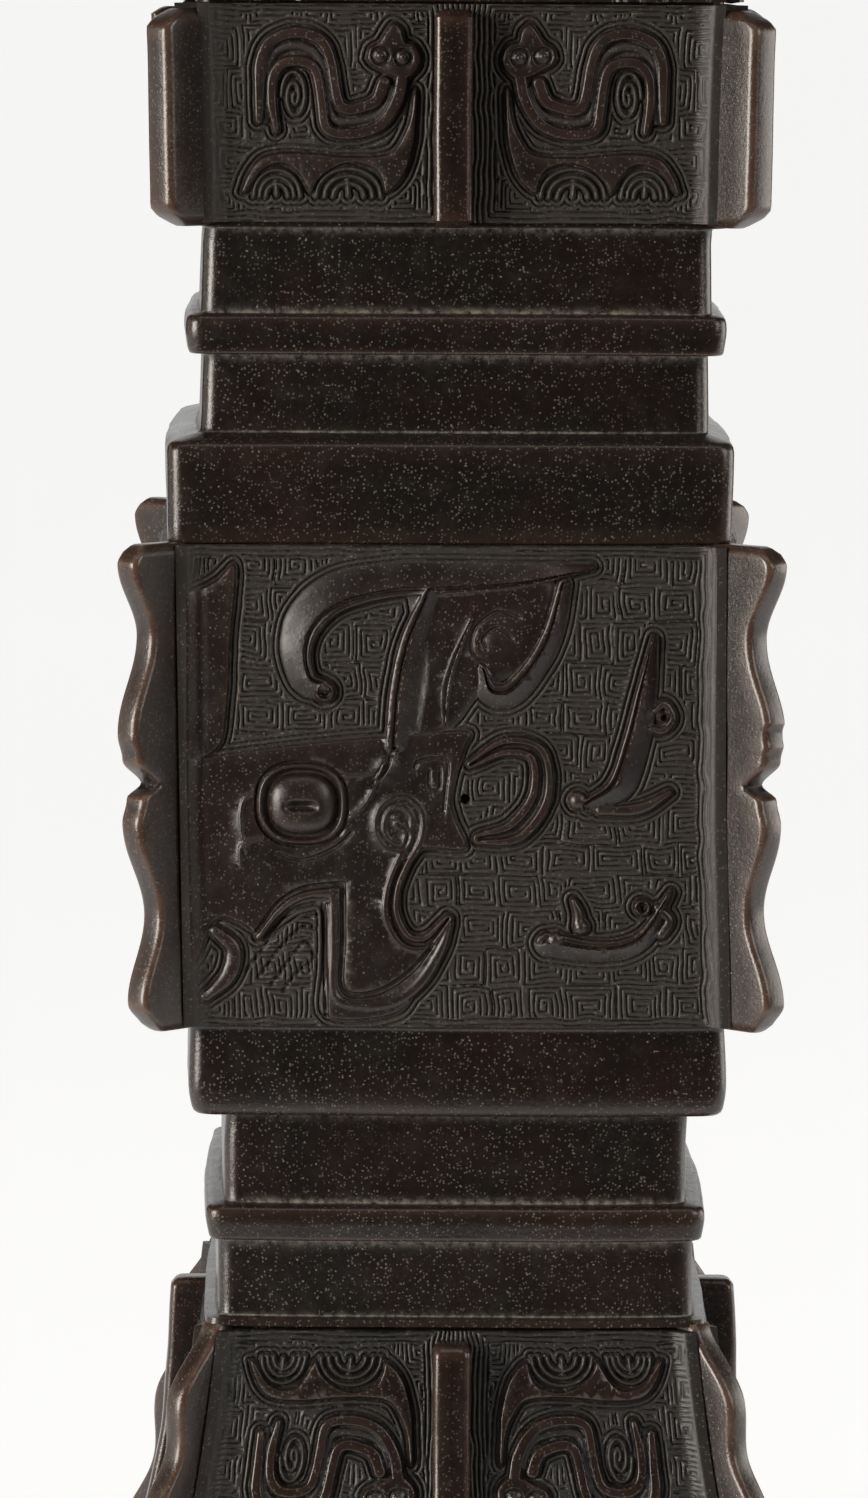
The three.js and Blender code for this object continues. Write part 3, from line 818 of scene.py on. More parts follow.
    @staticmethod
    def rounded(before: tuple, here: tuple, after: tuple) -> list[tuple]:
        """Round one corner of a profile with four steps, or keep it where its rounding is 0."""
        x, z, side, rounding = here
        if rounding == 0.0:
            return [(x, z, side)]
        centre = np.array((x, z))
        arms = []
        for other in (before, after):
            arm = np.array(other[:2]) - centre
            length = float(np.hypot(*arm))
            arms.append(arm / max(length, 1e-6) * min(rounding, 0.45 * length))
        points = []
        for t in (0.0, 0.33, 0.67, 1.0):
            p = centre + arms[0] * (1 - t) ** 2 + arms[1] * t**2
            points.append((float(p[0]), float(p[1]), side))
        return points

    def ring(self, half: float, radius: float, bow: float) -> np.ndarray:
        """Corners of one level, going round from the front's left end."""
        radius = min(radius, half * 0.9)
        centre = half - radius
        along = np.linspace(-1.0, 1.0, self.side_steps + 1)[:-1]
        angle = np.linspace(-math.pi / 2, 0.0, self.arc_steps + 1)[:-1]
        side = np.stack([along * centre, -half - bow * (1.0 - along**2)], axis=1)
        arc = np.stack([centre + radius * np.cos(angle), -centre + radius * np.sin(angle)], axis=1)
        quarter = np.concatenate([side, arc])
        points = []
        for turn in range(4):
            c, s = round(math.cos(turn * math.pi / 2)), round(math.sin(turn * math.pi / 2))
            points.append(quarter @ np.array([[c, s], [-s, c]]))
        ring = np.concatenate(points)
        return np.concatenate([ring, ring[:1]])

    def build(self, material: bpy.types.Material) -> bpy.types.Object:
        """Model the wall.

        Args:
            material: Its finish.

        Returns:
            The finished wall, which stands in for the whole node.
        """
        s = self.stack
        rows = []
        for half, z, side in self.levels():
            radius = s.corner_radius if side > 0.5 else self.cavity_radius
            flat = self.ring(max(half, 0.001), radius, s.side_bow * side)
            rows.append(np.column_stack([flat, np.full(len(flat), z), np.full(len(flat), side)]))
        x, y, z, side = np.moveaxis(np.array(rows), -1, 0)
        dent = self.noise.at(x, y, z, 9.0) + 0.45 * self.noise.at(x, y, z, 3.1)
        span = np.maximum(np.hypot(x, y), 1e-3)
        move = -self.dent_depth * (1.0 + dent) * side / span
        held = smooth(z / 4.0) * smooth((s.mouth_z - z) / 5.0)
        waver = self.waver * self.noise.at(x, y, z * 0.4, 14.0) * side * held
        points = np.stack([x * (1 + move), y * (1 + move), z + waver], axis=-1)
        piece = grid_piece("vase_wall", points)
        weld(piece, 0.004)
        mark_relief(piece, self.edge_bend)
        finish_piece(piece, material, self.smooth_degrees)
        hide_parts(NODE)
        return piece


# Flanges


class Seat(Enum):
    """Where a flange stands on its side of the vase, as the angle of the front side's flange."""

    CORNER = -135
    MIDDLE = -90


@dataclass
class Flange:
    """An upright fin along +X, with rounded edges and a waving tip, turned into place."""

    name: str
    seat: Seat
    side: int
    stack: Stack
    half_at: Callable
    low: float
    high: float
    knots: Run
    thickness: float
    edge_round: float = 0.75
    sink: float = 4.0
    step: float = 0.6
    waver: float = 0.10
    notch_depth: float = 0.0
    notch_share: float = 0.508
    notch_width: float = 0.016
    chips: Sequence[tuple[float, float, float]] = ()
    shift: float = 0.0
    edge_bend: float = 0.8
    smooth_degrees: float = 50.0
    noise: LatticeNoise = field(default_factory=lambda: LatticeNoise(23))

    def base_at(self, z: float) -> float:
        """Distance from the axis to the wall under the flange."""
        half = float(self.half_at(z))
        return self.stack.corner_of(half) if self.seat is Seat.CORNER else half

    def reach_at(self, share: np.ndarray) -> np.ndarray:
        """Reach of the tip beyond the wall at shares of the height."""
        reach = np.zeros_like(share)
        for (a, reach_a), (b, reach_b) in zip(self.knots, self.knots[1:]):
            t = np.clip((share - a) / (b - a), 0.0, 1.0)
            wave = reach_a + (reach_b - reach_a) * (1 - np.cos(np.pi * t)) / 2
            reach = np.where((share >= a) & (share <= b + 1e-9), wave, reach)
        away = np.abs(share - self.notch_share) / self.notch_width
        return reach - self.notch_depth * np.clip(1.0 - away, 0.0, 1.0)

    def section(self) -> np.ndarray:
        """Corners of the section: share along the reach, side, and pull back by the rounding."""
        arc = np.linspace(0.0, math.pi / 2, 6)
        r, side = self.edge_round, self.thickness / 2
        right = [(0.0, -side, 0.0), (0.35, -side, 0.0), (0.7, -side, 0.0)]
        right += [(1.0, -side + r * (1 - math.cos(a)), -r * (1 - math.sin(a))) for a in arc]
        middle = [(1.0, 0.0, 0.06)]
        left = [(share, -y, pull) for share, y, pull in reversed(right)]
        return np.array(right + middle + left + right[:1])

    def build(self, material: bpy.types.Material) -> bpy.types.Object:
        """Model the flange.

        Args:
            material: Its finish.

        Returns:
            The finished flange.
        """
        count = max(12, math.ceil((self.high - self.low) / self.step))
        share = np.linspace(0.0, 1.0, count + 1)
        heights = self.low + share * (self.high - self.low)
        caps = [(0.0, 1.0), (0.25 * self.edge_round, 0.55), (self.edge_round, 0.0)]
        rows = [(self.low + lift, inset) for lift, inset in caps]
        clear = self.edge_round * 1.3
        rows += [(z, 0.0) for z in heights if self.low + clear < z < self.high - clear]
        rows += [(self.high - lift, inset) for lift, inset in reversed(caps)]
        shape = self.section()
        grid = []
        for z, inset in rows:
            base = self.base_at(z)
            reach = float(self.reach_at(np.array([(z - self.low) / (self.high - self.low)]))[0])
            for chip_z, depth, half in self.chips:
                reach -= depth * math.exp(-(((z - chip_z) / half) ** 4))
            drawn = inset * self.edge_round
            root, tip = base - self.sink, base + max(reach, -self.sink + 1.4) - drawn
            squeeze = 1.0 - drawn / (self.thickness / 2)
            x = root + shape[:, 0] * (tip - root) + shape[:, 2]
            grid.append(np.stack([x, shape[:, 1] * squeeze + self.shift, np.full(len(x), z)], axis=-1))
        for end, place in ((0, 0), (-1, len(grid) + 1)):
            middle = grid[end][:-1].mean(axis=0)
            grid.insert(place, np.tile(middle, (len(shape), 1)))
        points = np.array(grid)
        x, y, z = points[..., 0], points[..., 1], points[..., 2]
        degrees = self.seat.value + 90 * self.side
        points[..., 0] += self.waver * self.noise.at(x + degrees, y, z, 5.0)
        points[..., 1] += self.waver * self.noise.at(x, y + degrees, z + 50.0, 7.0)
        c, s = math.cos(math.radians(degrees)), math.sin(math.radians(degrees))
        piece = grid_piece(self.name, np.stack([x * c - y * s, x * s + y * c, z], axis=-1))
        weld(piece, 0.002)
        mark_relief(piece, self.edge_bend)
        finish_piece(piece, material, self.smooth_degrees)
        return piece


@dataclass
class FlangeSet:
    """Every flange of the vase, on the four corners and in the middle of the sides."""

    stack: Stack
    trumpet_thick: float = 3.5
    body_thick: float = 3.0
    foot_thick: float = 2.8
    trumpet_edge: float = 0.9
    foot_edge: float = 0.8
    middle_thick: float = 3.8
    middle_sink: float = 2.6
    trumpet_reach: float = 4.8
    trumpet_middle_reach: float = 4.0
    upper_reach: float = 3.4
    foot_middle_reach: float = 3.9
    foot_middle_low: float = 3.0
    foot_gap: float = 0.3
    foot_front_gap: float = 2.0
    body_lobe: float = 5.4
    body_top_lobe: float = 6.0
    body_dip: float = 2.9
    body_top_dip: float = 3.4
    body_notch: float = 3.0
    foot_lobe: float = 5.0
    foot_top_lobe: float = 3.9
    foot_dip: float = 3.2
    ease: float = 0.6
    end_round: float = 2.0
    segment_height: float = 21.5
    segment_gap: float = 2.4
    top_clearance: float = 9.0
    middle_round: float = 0.6
    middle_shift: float = 0.8
    foot_middle_shift: float = 0.5
    notch_depth: float = 0.15
    body_step: float = 0.3
    upper_step: float = 1.2
    body_chips: Sequence[Run] = ((), ((127.0, 0.4, 0.9),), ((103.0, 0.3, 1.0),), ())

    def plain_knots(self, reach: float, round_off: float, height: float) -> Run:
        """Knots of a straight flange with rounded ends."""
        part = round_off / height
        return [(0, reach - round_off), (part, reach), (1 - part, reach), (1, reach - round_off)]

    def body_knots(self) -> Run:
        """Knots of the scalloped flange of the body."""
        lobe, top, ease = self.body_lobe, self.body_top_lobe, self.ease
        return [(0, lobe - self.end_round), (0.06, lobe), (0.24, self.body_dip), (0.43, lobe),
                (0.48, lobe - ease), (0.508, self.body_notch), (0.56, top - ease), (0.61, top),
                (0.81, self.body_top_dip), (0.96, top), (1, top - 2 * ease)]

    def foot_knots(self) -> Run:
        """Knots of the waving flange of the foot."""
        lobe, dip = self.foot_lobe, self.foot_dip
        return [(0, dip - self.ease), (0.14, lobe), (0.27, dip), (0.4, lobe), (0.54, dip), (0.67, lobe),
                (0.773, dip), (0.86, self.foot_top_lobe), (1, 0)]

    def on_side(self, k: int) -> list[Flange]:
        """The flanges of one side of the vase.

        Args:
            k: Number of the side, from the front round to the left.

        Returns:
            The body's flange, then those of the trumpet, of the trumpet's top and of the foot, on the
            left corner of the side and in its middle.
        """
        s = self.stack
        front = k == 0
        trumpet_top = s.trumpet_z + self.segment_height
        body = (k, s, lambda z: s.body_half, s.body_z, s.shoulder_z)
        trumpet = (k, s, s.trumpet_half_at, s.trumpet_z, trumpet_top)
        upper_low, upper_high = trumpet_top + self.segment_gap, s.mouth_z - self.top_clearance
        upper = (k, s, s.trumpet_half_at, upper_low, upper_high)
        foot = (k, s, s.foot_half_at, s.plinth_height)
        foot_middle_top = s.foot_height - (self.foot_front_gap if front else self.foot_gap)
        lower_edge = self.plain_knots(self.trumpet_reach, self.end_round, self.segment_height)
        lower_middle = self.plain_knots(self.trumpet_middle_reach, self.middle_round, self.segment_height)
        upper_knots = self.plain_knots(self.upper_reach, self.end_round, upper_high - upper_low)
        foot_middle = [(0, self.foot_middle_low), (0.7, self.foot_middle_low), (1, self.foot_middle_reach)]
        return [
            Flange(f"body_flange_{k}", Seat.CORNER, *body, self.body_knots(), self.body_thick,
                   notch_depth=self.notch_depth, chips=self.body_chips[k], step=self.body_step),
            Flange(f"trumpet_flange_{k}", Seat.CORNER, *trumpet, lower_edge, self.trumpet_thick,
                   edge_round=self.trumpet_edge),
            Flange(f"trumpet_middle_{k}", Seat.MIDDLE, *trumpet, lower_middle, self.middle_thick,
                   sink=self.middle_sink, shift=-self.middle_shift if front else 0.0),
            Flange(f"upper_flange_{k}", Seat.CORNER, *upper, upper_knots, self.trumpet_thick,
                   edge_round=self.trumpet_edge, step=self.upper_step),
            Flange(f"upper_middle_{k}", Seat.MIDDLE, *upper, upper_knots, self.middle_thick,
                   sink=self.middle_sink, step=self.upper_step),
            Flange(f"foot_flange_{k}", Seat.CORNER, *foot, s.foot_height, self.foot_knots(),
                   self.foot_thick, edge_round=self.foot_edge),
            Flange(f"foot_middle_{k}", Seat.MIDDLE, *foot, foot_middle_top, foot_middle, self.middle_thick,
                   sink=self.middle_sink, shift=-self.foot_middle_shift if front else 0.0)]

    def build(self, edge: bpy.types.Material, spine: bpy.types.Material) -> list[bpy.types.Object]:
        """Model all flanges.

        Args:
            edge: Finish of the corner flanges.
            spine: Finish of the flanges in the middle of the sides.

        Returns:
            The finished flanges.
        """
        finish = {Seat.CORNER: edge, Seat.MIDDLE: spine}
        return [flange.build(finish[flange.seat]) for k in range(4) for flange in self.on_side(k)]


# Drawn relief


class Form(Enum):
    """Cross section of a drawn run."""

    ROUND = "round"
    BEVEL = "bevel"
    DOUBLE = "double"
    SMOOTH = "smooth"
    SOFT = "soft"
    GROOVE = "groove"


@dataclass(frozen=True)
class Stroke:
    """A band drawn along a line. Points are across, up and half width, in tenths of a millimetre."""

    points: Run
    form: Form
    height: float = 0.75
    side: float = 1.0
    crest: float = 0.1


@dataclass(frozen=True)
class Plate:
    """A smooth raised area inside an outline, in tenths of a millimetre."""

    outline: Run
    height: float = 0.4
    edge: float = 0.45


@dataclass(frozen=True)
class Knob:
    """A small round boss."""

    across: float
    up: float
    radius: float
    height: float
    ring: bool = False
    hole: bool = False


class Canvas:
    """A height field over one flat design: a ground with figures drawn into it."""

    unit = 0.1
    reach = 2.2
    least_width = 0.12
    eye_squareness = 2.5

    def __init__(self, across: np.ndarray, up: np.ndarray, step: float) -> None:
        """Lay out the field.

        Args:
            across: Design coordinate of every sample, in millimetres.
            up: Design height of every sample, in millimetres.
            step: Gap between samples.
        """
        self.across, self.up, self.step = across, up, step
        self.figure = np.zeros_like(across)
        self.away = np.full_like(across, 9.0)
        self.carved = np.zeros_like(across)
        self.soft = np.zeros_like(across)

    def window(self, low: np.ndarray, high: np.ndarray, margin: float) -> Optional[tuple]:
        """Slice of the samples near a box of the design, or None when there are none."""
        near = ((self.across > low[0] - margin) & (self.across < high[0] + margin)
                & (self.up > low[1] - margin) & (self.up < high[1] + margin))
        rows, columns = np.where(near.any(axis=1))[0], np.where(near.any(axis=0))[0]
        if not len(rows):
            return None
        return slice(rows[0], rows[-1] + 1), slice(columns[0], columns[-1] + 1)

    @staticmethod
    def segments(line: np.ndarray, x: np.ndarray, y: np.ndarray) -> Iterator[tuple]:
        """Walk along a line and measure every sample from each of its segments.

        Args:
            line: Points of the line, one row each.
            x: Places of the samples across.
            y: Places of the samples up.

        Yields:
            Both ends of the segment, the share of it that is nearest to every sample, and how far
            the sample lies from there, across and up.
        """
        for a, b in zip(line[:-1], line[1:]):
            run = b[:2] - a[:2]
            length2 = float(run @ run)
            if length2 < 1e-9:
                continue
            dx, dy = x - a[0], y - a[1]
            t = np.clip((dx * run[0] + dy * run[1]) / length2, 0.0, 1.0)
            yield a, b, t, dx - t * run[0], dy - t * run[1]

    @staticmethod
    def cross_section(stroke: Stroke, t: np.ndarray) -> np.ndarray:
        """Height over the width of a stroke.

        Args:
            stroke: The stroke.
            t: Places over its width, from -1 on its right to 1 on its left.

        Returns:
            Heights as a share of the full height of the stroke.
        """
        if stroke.form is Form.BEVEL:
            lean, crest = t * stroke.side, stroke.crest
            rise = 0.08 + 0.92 * (lean + 1.0) / (crest + 1.0)
            fall = 0.78 - 0.12 * (lean - crest) / (1.0 - crest)
            groove = 0.30 * np.exp(-(((lean - crest - 0.14) / 0.10) ** 2))
            return np.where(lean < crest, rise, fall) - groove
        if stroke.form is Form.DOUBLE:
            return 0.95 - 0.75 * np.exp(-((t / 0.30) ** 4)) - 0.12 * t**6
        if stroke.form is Form.SMOOTH:
            return 1.0 - 0.12 * t**4
        return np.sqrt(np.maximum(1.0 - (0.86 * t) ** 2, 0.0))

    def stroke(self, stroke: Stroke) -> None:
        """Draw a stroke into the field."""
        line = curve_through(stroke.points, 9) * self.unit
        margin = self.reach + line[:, 2].max()
        area = self.window(line[:, :2].min(axis=0), line[:, :2].max(axis=0), margin)
        if area is None:
            return
        x, y = self.across[area], self.up[area]
        best = np.full_like(x, 1e9)
        offset, width = np.zeros_like(x), np.full_like(x, 0.5)
        for a, b, t, ex, ey in self.segments(line, x, y):
            half = a[2] + (b[2] - a[2]) * t
            gap = np.hypot(ex, ey)
            better = gap - half < best
            best = np.where(better, gap - half, best)
            side = np.sign((b[0] - a[0]) * ey - (b[1] - a[1]) * ex)
            offset = np.where(better, gap * side, offset)
            width = np.where(better, np.maximum(half, self.least_width), width)
        if stroke.form is Form.GROOVE:
            cut = stroke.height * smooth((0.08 - best) / 0.2)
            self.carved[area] = np.maximum(self.carved[area], cut)
            return
        inside = smooth((0.09 - best) / 0.19)
        shape = self.cross_section(stroke, np.clip(offset / width, -1.0, 1.0))
        if stroke.form is Form.SOFT:
            self.soft[area] = np.maximum(self.soft[area], inside)
        self.figure[area] = np.maximum(self.figure[area], stroke.height * shape * inside)
        self.away[area] = np.minimum(self.away[area], np.maximum(best, 0.0))

    def plate(self, plate: Plate) -> None:
        """Draw a smooth raised area into the field."""
        line = curve_through([*plate.outline, plate.outline[0]], 6)[:, :2] * self.unit
        area = self.window(line.min(axis=0), line.max(axis=0), self.reach)
        if area is None:
            return
        x, y = self.across[area], self.up[area]
        inside = np.zeros(x.shape, dtype=bool)
        gap = np.full_like(x, 1e9)
        for a, b, _, ex, ey in self.segments(line, x, y):
            gap = np.minimum(gap, np.hypot(ex, ey))
            run = b - a
            if abs(run[1]) > 1e-9:
                crosses = (a[1] > y) != (b[1] > y)
                inside ^= crosses & (x < a[0] + (y - a[1]) * run[0] / run[1])
        depth = np.where(inside, gap, -gap)
        rise = smooth((depth + 0.08) / plate.edge)
        self.figure[area] = np.maximum(self.figure[area], plate.height * rise)
        self.away[area] = np.minimum(self.away[area], np.maximum(-depth, 0.0))

    def knob(self, knob: Knob) -> None:
        """Draw a small boss, ring or hole into the field."""
        x, y, r = knob.across * self.unit, knob.up * self.unit, knob.radius * self.unit
        gap = np.hypot(self.across - x, self.up - y)
        if knob.hole:
            self.carved = np.maximum(self.carved, knob.height * smooth((r - gap) / 0.2))
            return
        dome = np.sqrt(np.maximum(1.0 - (gap / r) ** 2, 0.0))
        if knob.ring:
            dome = np.exp(-(((gap - 0.72 * r) / (0.22 * r)) ** 2))
        self.figure = np.maximum(self.figure, knob.height * dome)
        self.away = np.minimum(self.away, np.maximum(gap - r, 0.0))

    def eye(self, across: float, up: float, wide: float, tall: float, height: float) -> None:
        """Draw an eye: an oval boss with a rim and a level slit."""
        power = self.eye_squareness
        x = (self.across - across * self.unit) / (wide * self.unit)
        y = (self.up - up * self.unit) / (tall * self.unit)
        gap = (np.abs(x) ** power + np.abs(y) ** power) ** (1 / power)
        boss = height * np.maximum(1.0 - gap**2.6, 0.0) ** 0.55
        slit = np.exp(-((x / 0.42) ** 4) - (((y + 0.06) / 0.15) ** 2))
        rim = 0.55 * np.exp(-(((gap - 1.22) / 0.10) ** 2))
        clear = gap < 1.4
        self.figure = np.where(clear, np.maximum(boss - 1.10 * slit, rim), self.figure)
        self.carved = np.where(clear, 0.22 * np.exp(-(((gap - 1.04) / 0.07) ** 2)), self.carved)
        self.away = np.minimum(self.away, np.maximum(gap - 1.3, 0.0) * tall * self.unit)

    def box_blur(self, values: np.ndarray, reach: float) -> np.ndarray:
        """Average a field over a square of a half width in millimetres."""
        n = max(1, round(reach / self.step))
        for axis in (0, 1):
            padding = [(0, 0), (0, 0)]
            padding[axis] = (n + 1, n)
            total = np.cumsum(np.pad(values, padding, mode="edge"), axis=axis)
            size = values.shape[axis]
            high = np.take(total, np.arange(2 * n + 1, 2 * n + 1 + size), axis=axis)
            low = np.take(total, np.arange(0, size), axis=axis)
            values = (high - low) / (2 * n + 1)
        return values


@dataclass
class ThunderGround:
    """The leiwen ground: rows of squared spirals, with lines that follow figures and borders."""

    seed: int
    pitch: float = 0.51
    depth: float = 0.26
    row: float = 3.9
    follow: float = 1.15
    borders: tuple[float, float, float] = (1.1, 1.1, 1.6)
    warp: float = 0.2

    def spiral(self, x: np.ndarray, y: np.ndarray, half_x: np.ndarray, half_y: float) -> np.ndarray:
        """Distance along the arms of a squared spiral in a cell."""
        extra_x, extra_y = np.maximum(half_x - half_y, 0.0), np.maximum(half_y - half_x, 0.0)
        x = np.sign(x) * np.maximum(np.abs(x) - extra_x, 0.0)
        y = np.sign(y) * np.maximum(np.abs(y) - extra_y, 0.0)
        p = self.pitch
        right = np.where(y > 0, x, x - p)
        return np.max([right, y - 0.25 * p, -x - 0.5 * p, -y - 0.75 * p], axis=0)

    def heights(self, canvas: Canvas, low: float, high: float, left: float, right: float) -> np.ndarray:
        """Height of the ground for every sample.

        Args:
            canvas: Field with the figures already drawn.
            low: Bottom of the design, in millimetres.
            high: Top of the design.
            left: Left border of the design.
            right: Right border of the design.

        Returns:
            Heights, zero on the ridges and below zero in the grooves.
        """
        rng = np.random.default_rng(self.seed)
        noise = LatticeNoise(self.seed + 1)
        flat = np.zeros_like(canvas.across)
        x = canvas.across + self.warp * noise.at(canvas.across, canvas.up, flat, 1.7)
        y = canvas.up + self.warp * noise.at(canvas.across, canvas.up, flat + 40.0, 1.9)
        value = np.zeros_like(x)
        edge = low
        while edge < high:
            tall = self.row * rng.uniform(0.78, 1.18)
            if high - edge - tall < 2.0:
                tall = high - edge
            rows = (y >= edge) & (y < edge + tall)
            cuts = [left - rng.uniform(0.0, 2.0)]
            while cuts[-1] < right:
                cuts.append(cuts[-1] + self.row * rng.uniform(0.72, 1.35))
            cuts = np.array(cuts)
            flips = rng.choice([-1.0, 1.0], (2, len(cuts)))
            xs, ys = x[rows], y[rows]
            cell = np.clip(np.searchsorted(cuts, xs) - 1, 0, len(cuts) - 2)
            half_x = (cuts[cell + 1] - cuts[cell]) / 2
            u = (xs - (cuts[cell + 1] + cuts[cell]) / 2) * flips[0][cell]
            v = (ys - edge - tall / 2) * flips[1][cell]
            value[rows] = self.spiral(u, v, half_x, tall / 2)
            edge += tall
        phase = value / self.pitch
        near = canvas.away + 0.05 * noise.at(canvas.across, canvas.up, flat + 80.0, 1.2)
        follow = near / self.pitch + 0.55
        bottom, top, side = self.borders
        inward = np.minimum(x - left, right - x)
        border = np.min([(y - low) - bottom, (high - y) - top, inward - side], axis=0)
        phase = np.where(border < 0, border / self.pitch + 0.5, phase)
        phase = np.where(near < self.follow, follow, phase)
        wave = 0.5 + 0.5 * np.cos(2 * np.pi * phase)
        return -self.depth * smooth((wave - 0.48) / 0.45) * smooth(canvas.away / 0.12)


class Relief:
    """A worked design, ready to be laid on a side of the vase."""

    uneven = 0.05

    def __init__(self, canvas: Canvas, ground: np.ndarray, seed: int) -> None:
        """Join figures and ground.

        Args:
            canvas: The drawn figures.
            ground: Height of the ground.
            seed: Seed of the hand-made unevenness.
        """
        noise = LatticeNoise(seed)
        flat = np.zeros_like(canvas.across)
        fine, broad = (noise.at(canvas.across, canvas.up, flat, size) for size in (2.3, 6.0))
        lined = ground * smooth((0.12 - canvas.figure) / 0.1)
        self.height = canvas.figure - canvas.carved + lined + (self.uneven * fine + self.uneven * broad)
        around, wide = canvas.box_blur(self.height, 0.45), canvas.box_blur(self.height, 1.1)
        high = np.maximum(self.height - around, 0.6 * (self.height - wide))
        deep = np.maximum(around - self.height, 0.8 * (wide - self.height))
        carved = np.maximum(smooth((0.15 - canvas.figure) / 0.1), canvas.soft * (canvas.figure < 0.4))
        self.marks = {"edge": np.clip(high / 0.16 - 0.25, 0.0, 1.0),
                      "hollow": np.clip(deep / 0.15, 0.0, 1.0), "ground": carved}

    def mark(self, piece: bpy.types.Object, rows: np.ndarray, columns: np.ndarray) -> None:
        """Store edges, hollows and ground on the corners of a piece.

        Args:
            piece: The piece.
            rows: Row of the field for each corner.
            columns: Column of the field for each corner.
        """
        last_row, last_column = self.height.shape[0] - 1, self.height.shape[1] - 1
        rows = np.clip(np.rint(rows), 0, last_row).astype(int)
        columns = np.clip(np.rint(columns), 0, last_column).astype(int)
        store_marks(piece, {name: values[rows, columns] for name, values in self.marks.items()})


@dataclass
class ReliefPanel:
    """A slab that carries one design on a side of the vase, let into the wall."""

    name: str
    low: float
    high: float
    half_at: Callable
    bow_at: Callable
    step: float = 0.09
    side_gap: float = 1.2
    back_depth: float = 2.0
    fillet: float = 1.0
    fillet_width: float = 2.4
    edge_gap: float = 2.2
    smooth_degrees: float = 75.0
    front_triangles: int = 180000
    side_triangles: int = 46000

    def samples(self) -> tuple[np.ndarray, np.ndarray, np.ndarray]:
        """Places of the samples.

        Returns:
            Distance across, height, and half width of the vase, for every sample.
        """
        rows = round((self.high - self.low) / self.step) + 1
        z = np.linspace(self.low, self.high, rows)
        half = self.half_at(z)
        columns = round(2 * float(half.max()) / self.step) + 1
        share = np.linspace(-1.0, 1.0, columns)
        reach = half[:, None] - self.side_gap
        return share * reach, *(np.repeat(value[:, None], columns, axis=1) for value in (z, half))

    def build(self, relief: Relief, material: bpy.types.Material) -> list[bpy.types.Object]:
        """Model the panel for all four sides.

        Args:
            relief: The design, sampled at the places of this panel.
            material: Finish of the panels.

        Returns:
            The four finished panels: front, right, back and left.
        """
        u, z, half = self.samples()
        start = half - self.edge_gap - self.fillet_width
        near = smooth((np.abs(u) - start) / self.fillet_width) ** 2
        out = half + self.bow_at(u, half) + relief.height * (1.0 - np.sqrt(near)) + self.fillet * near
        points = np.stack([u, -out, z], axis=-1)
        low_back, high_back = half[0, 0] - self.back_depth, half[-1, 0] - self.back_depth
        share = (z - self.low) / (self.high - self.low)
        back = low_back + (high_back - low_back) * share
        rim = np.zeros(u.shape, dtype=bool)
        rim[[0, -1]] = rim[:, [0, -1]] = True
        points[..., 1] = np.where(rim, -back, points[..., 1])
        front = grid_piece(f"{self.name}_0", points)
        bpy.ops.object.mode_set(mode="EDIT")
        bpy.ops.mesh.select_mode(type="VERT")
        bpy.ops.mesh.select_all(action="DESELECT")
        bpy.ops.mesh.select_non_manifold()
        bpy.ops.mesh.edge_face_add()
        bpy.ops.object.mode_set(mode="OBJECT")
        thin_out(front, self.front_triangles)
        self.mark(front, relief, u)
        coarse = turned_copy(front, "coarse", 0)
        for name in relief.marks:
            coarse.data.attributes.remove(coarse.data.attributes[name])
        thin_out(coarse, self.side_triangles)
        self.mark(coarse, relief, u)
        pieces = [front] + [turned_copy(coarse, f"{self.name}_{k}", k, k != 2) for k in (1, 2, 3)]
        bpy.data.objects.remove(coarse)
        for piece in pieces:
            finish_piece(piece, material, self.smooth_degrees)
        return pieces

    def mark(self, piece: bpy.types.Object, relief: Relief, u: np.ndarray) -> None:
        """Find the sample under each corner of a front panel and mark the piece with it."""
        x, _, z = corners_of(piece).T / METRES
        rows = (z - self.low) / (self.high - self.low) * (u.shape[0] - 1)
        reach = self.half_at(z) - self.side_gap
        columns = (x / reach + 1.0) / 2 * (u.shape[1] - 1)
        relief.mark(piece, rows, columns)


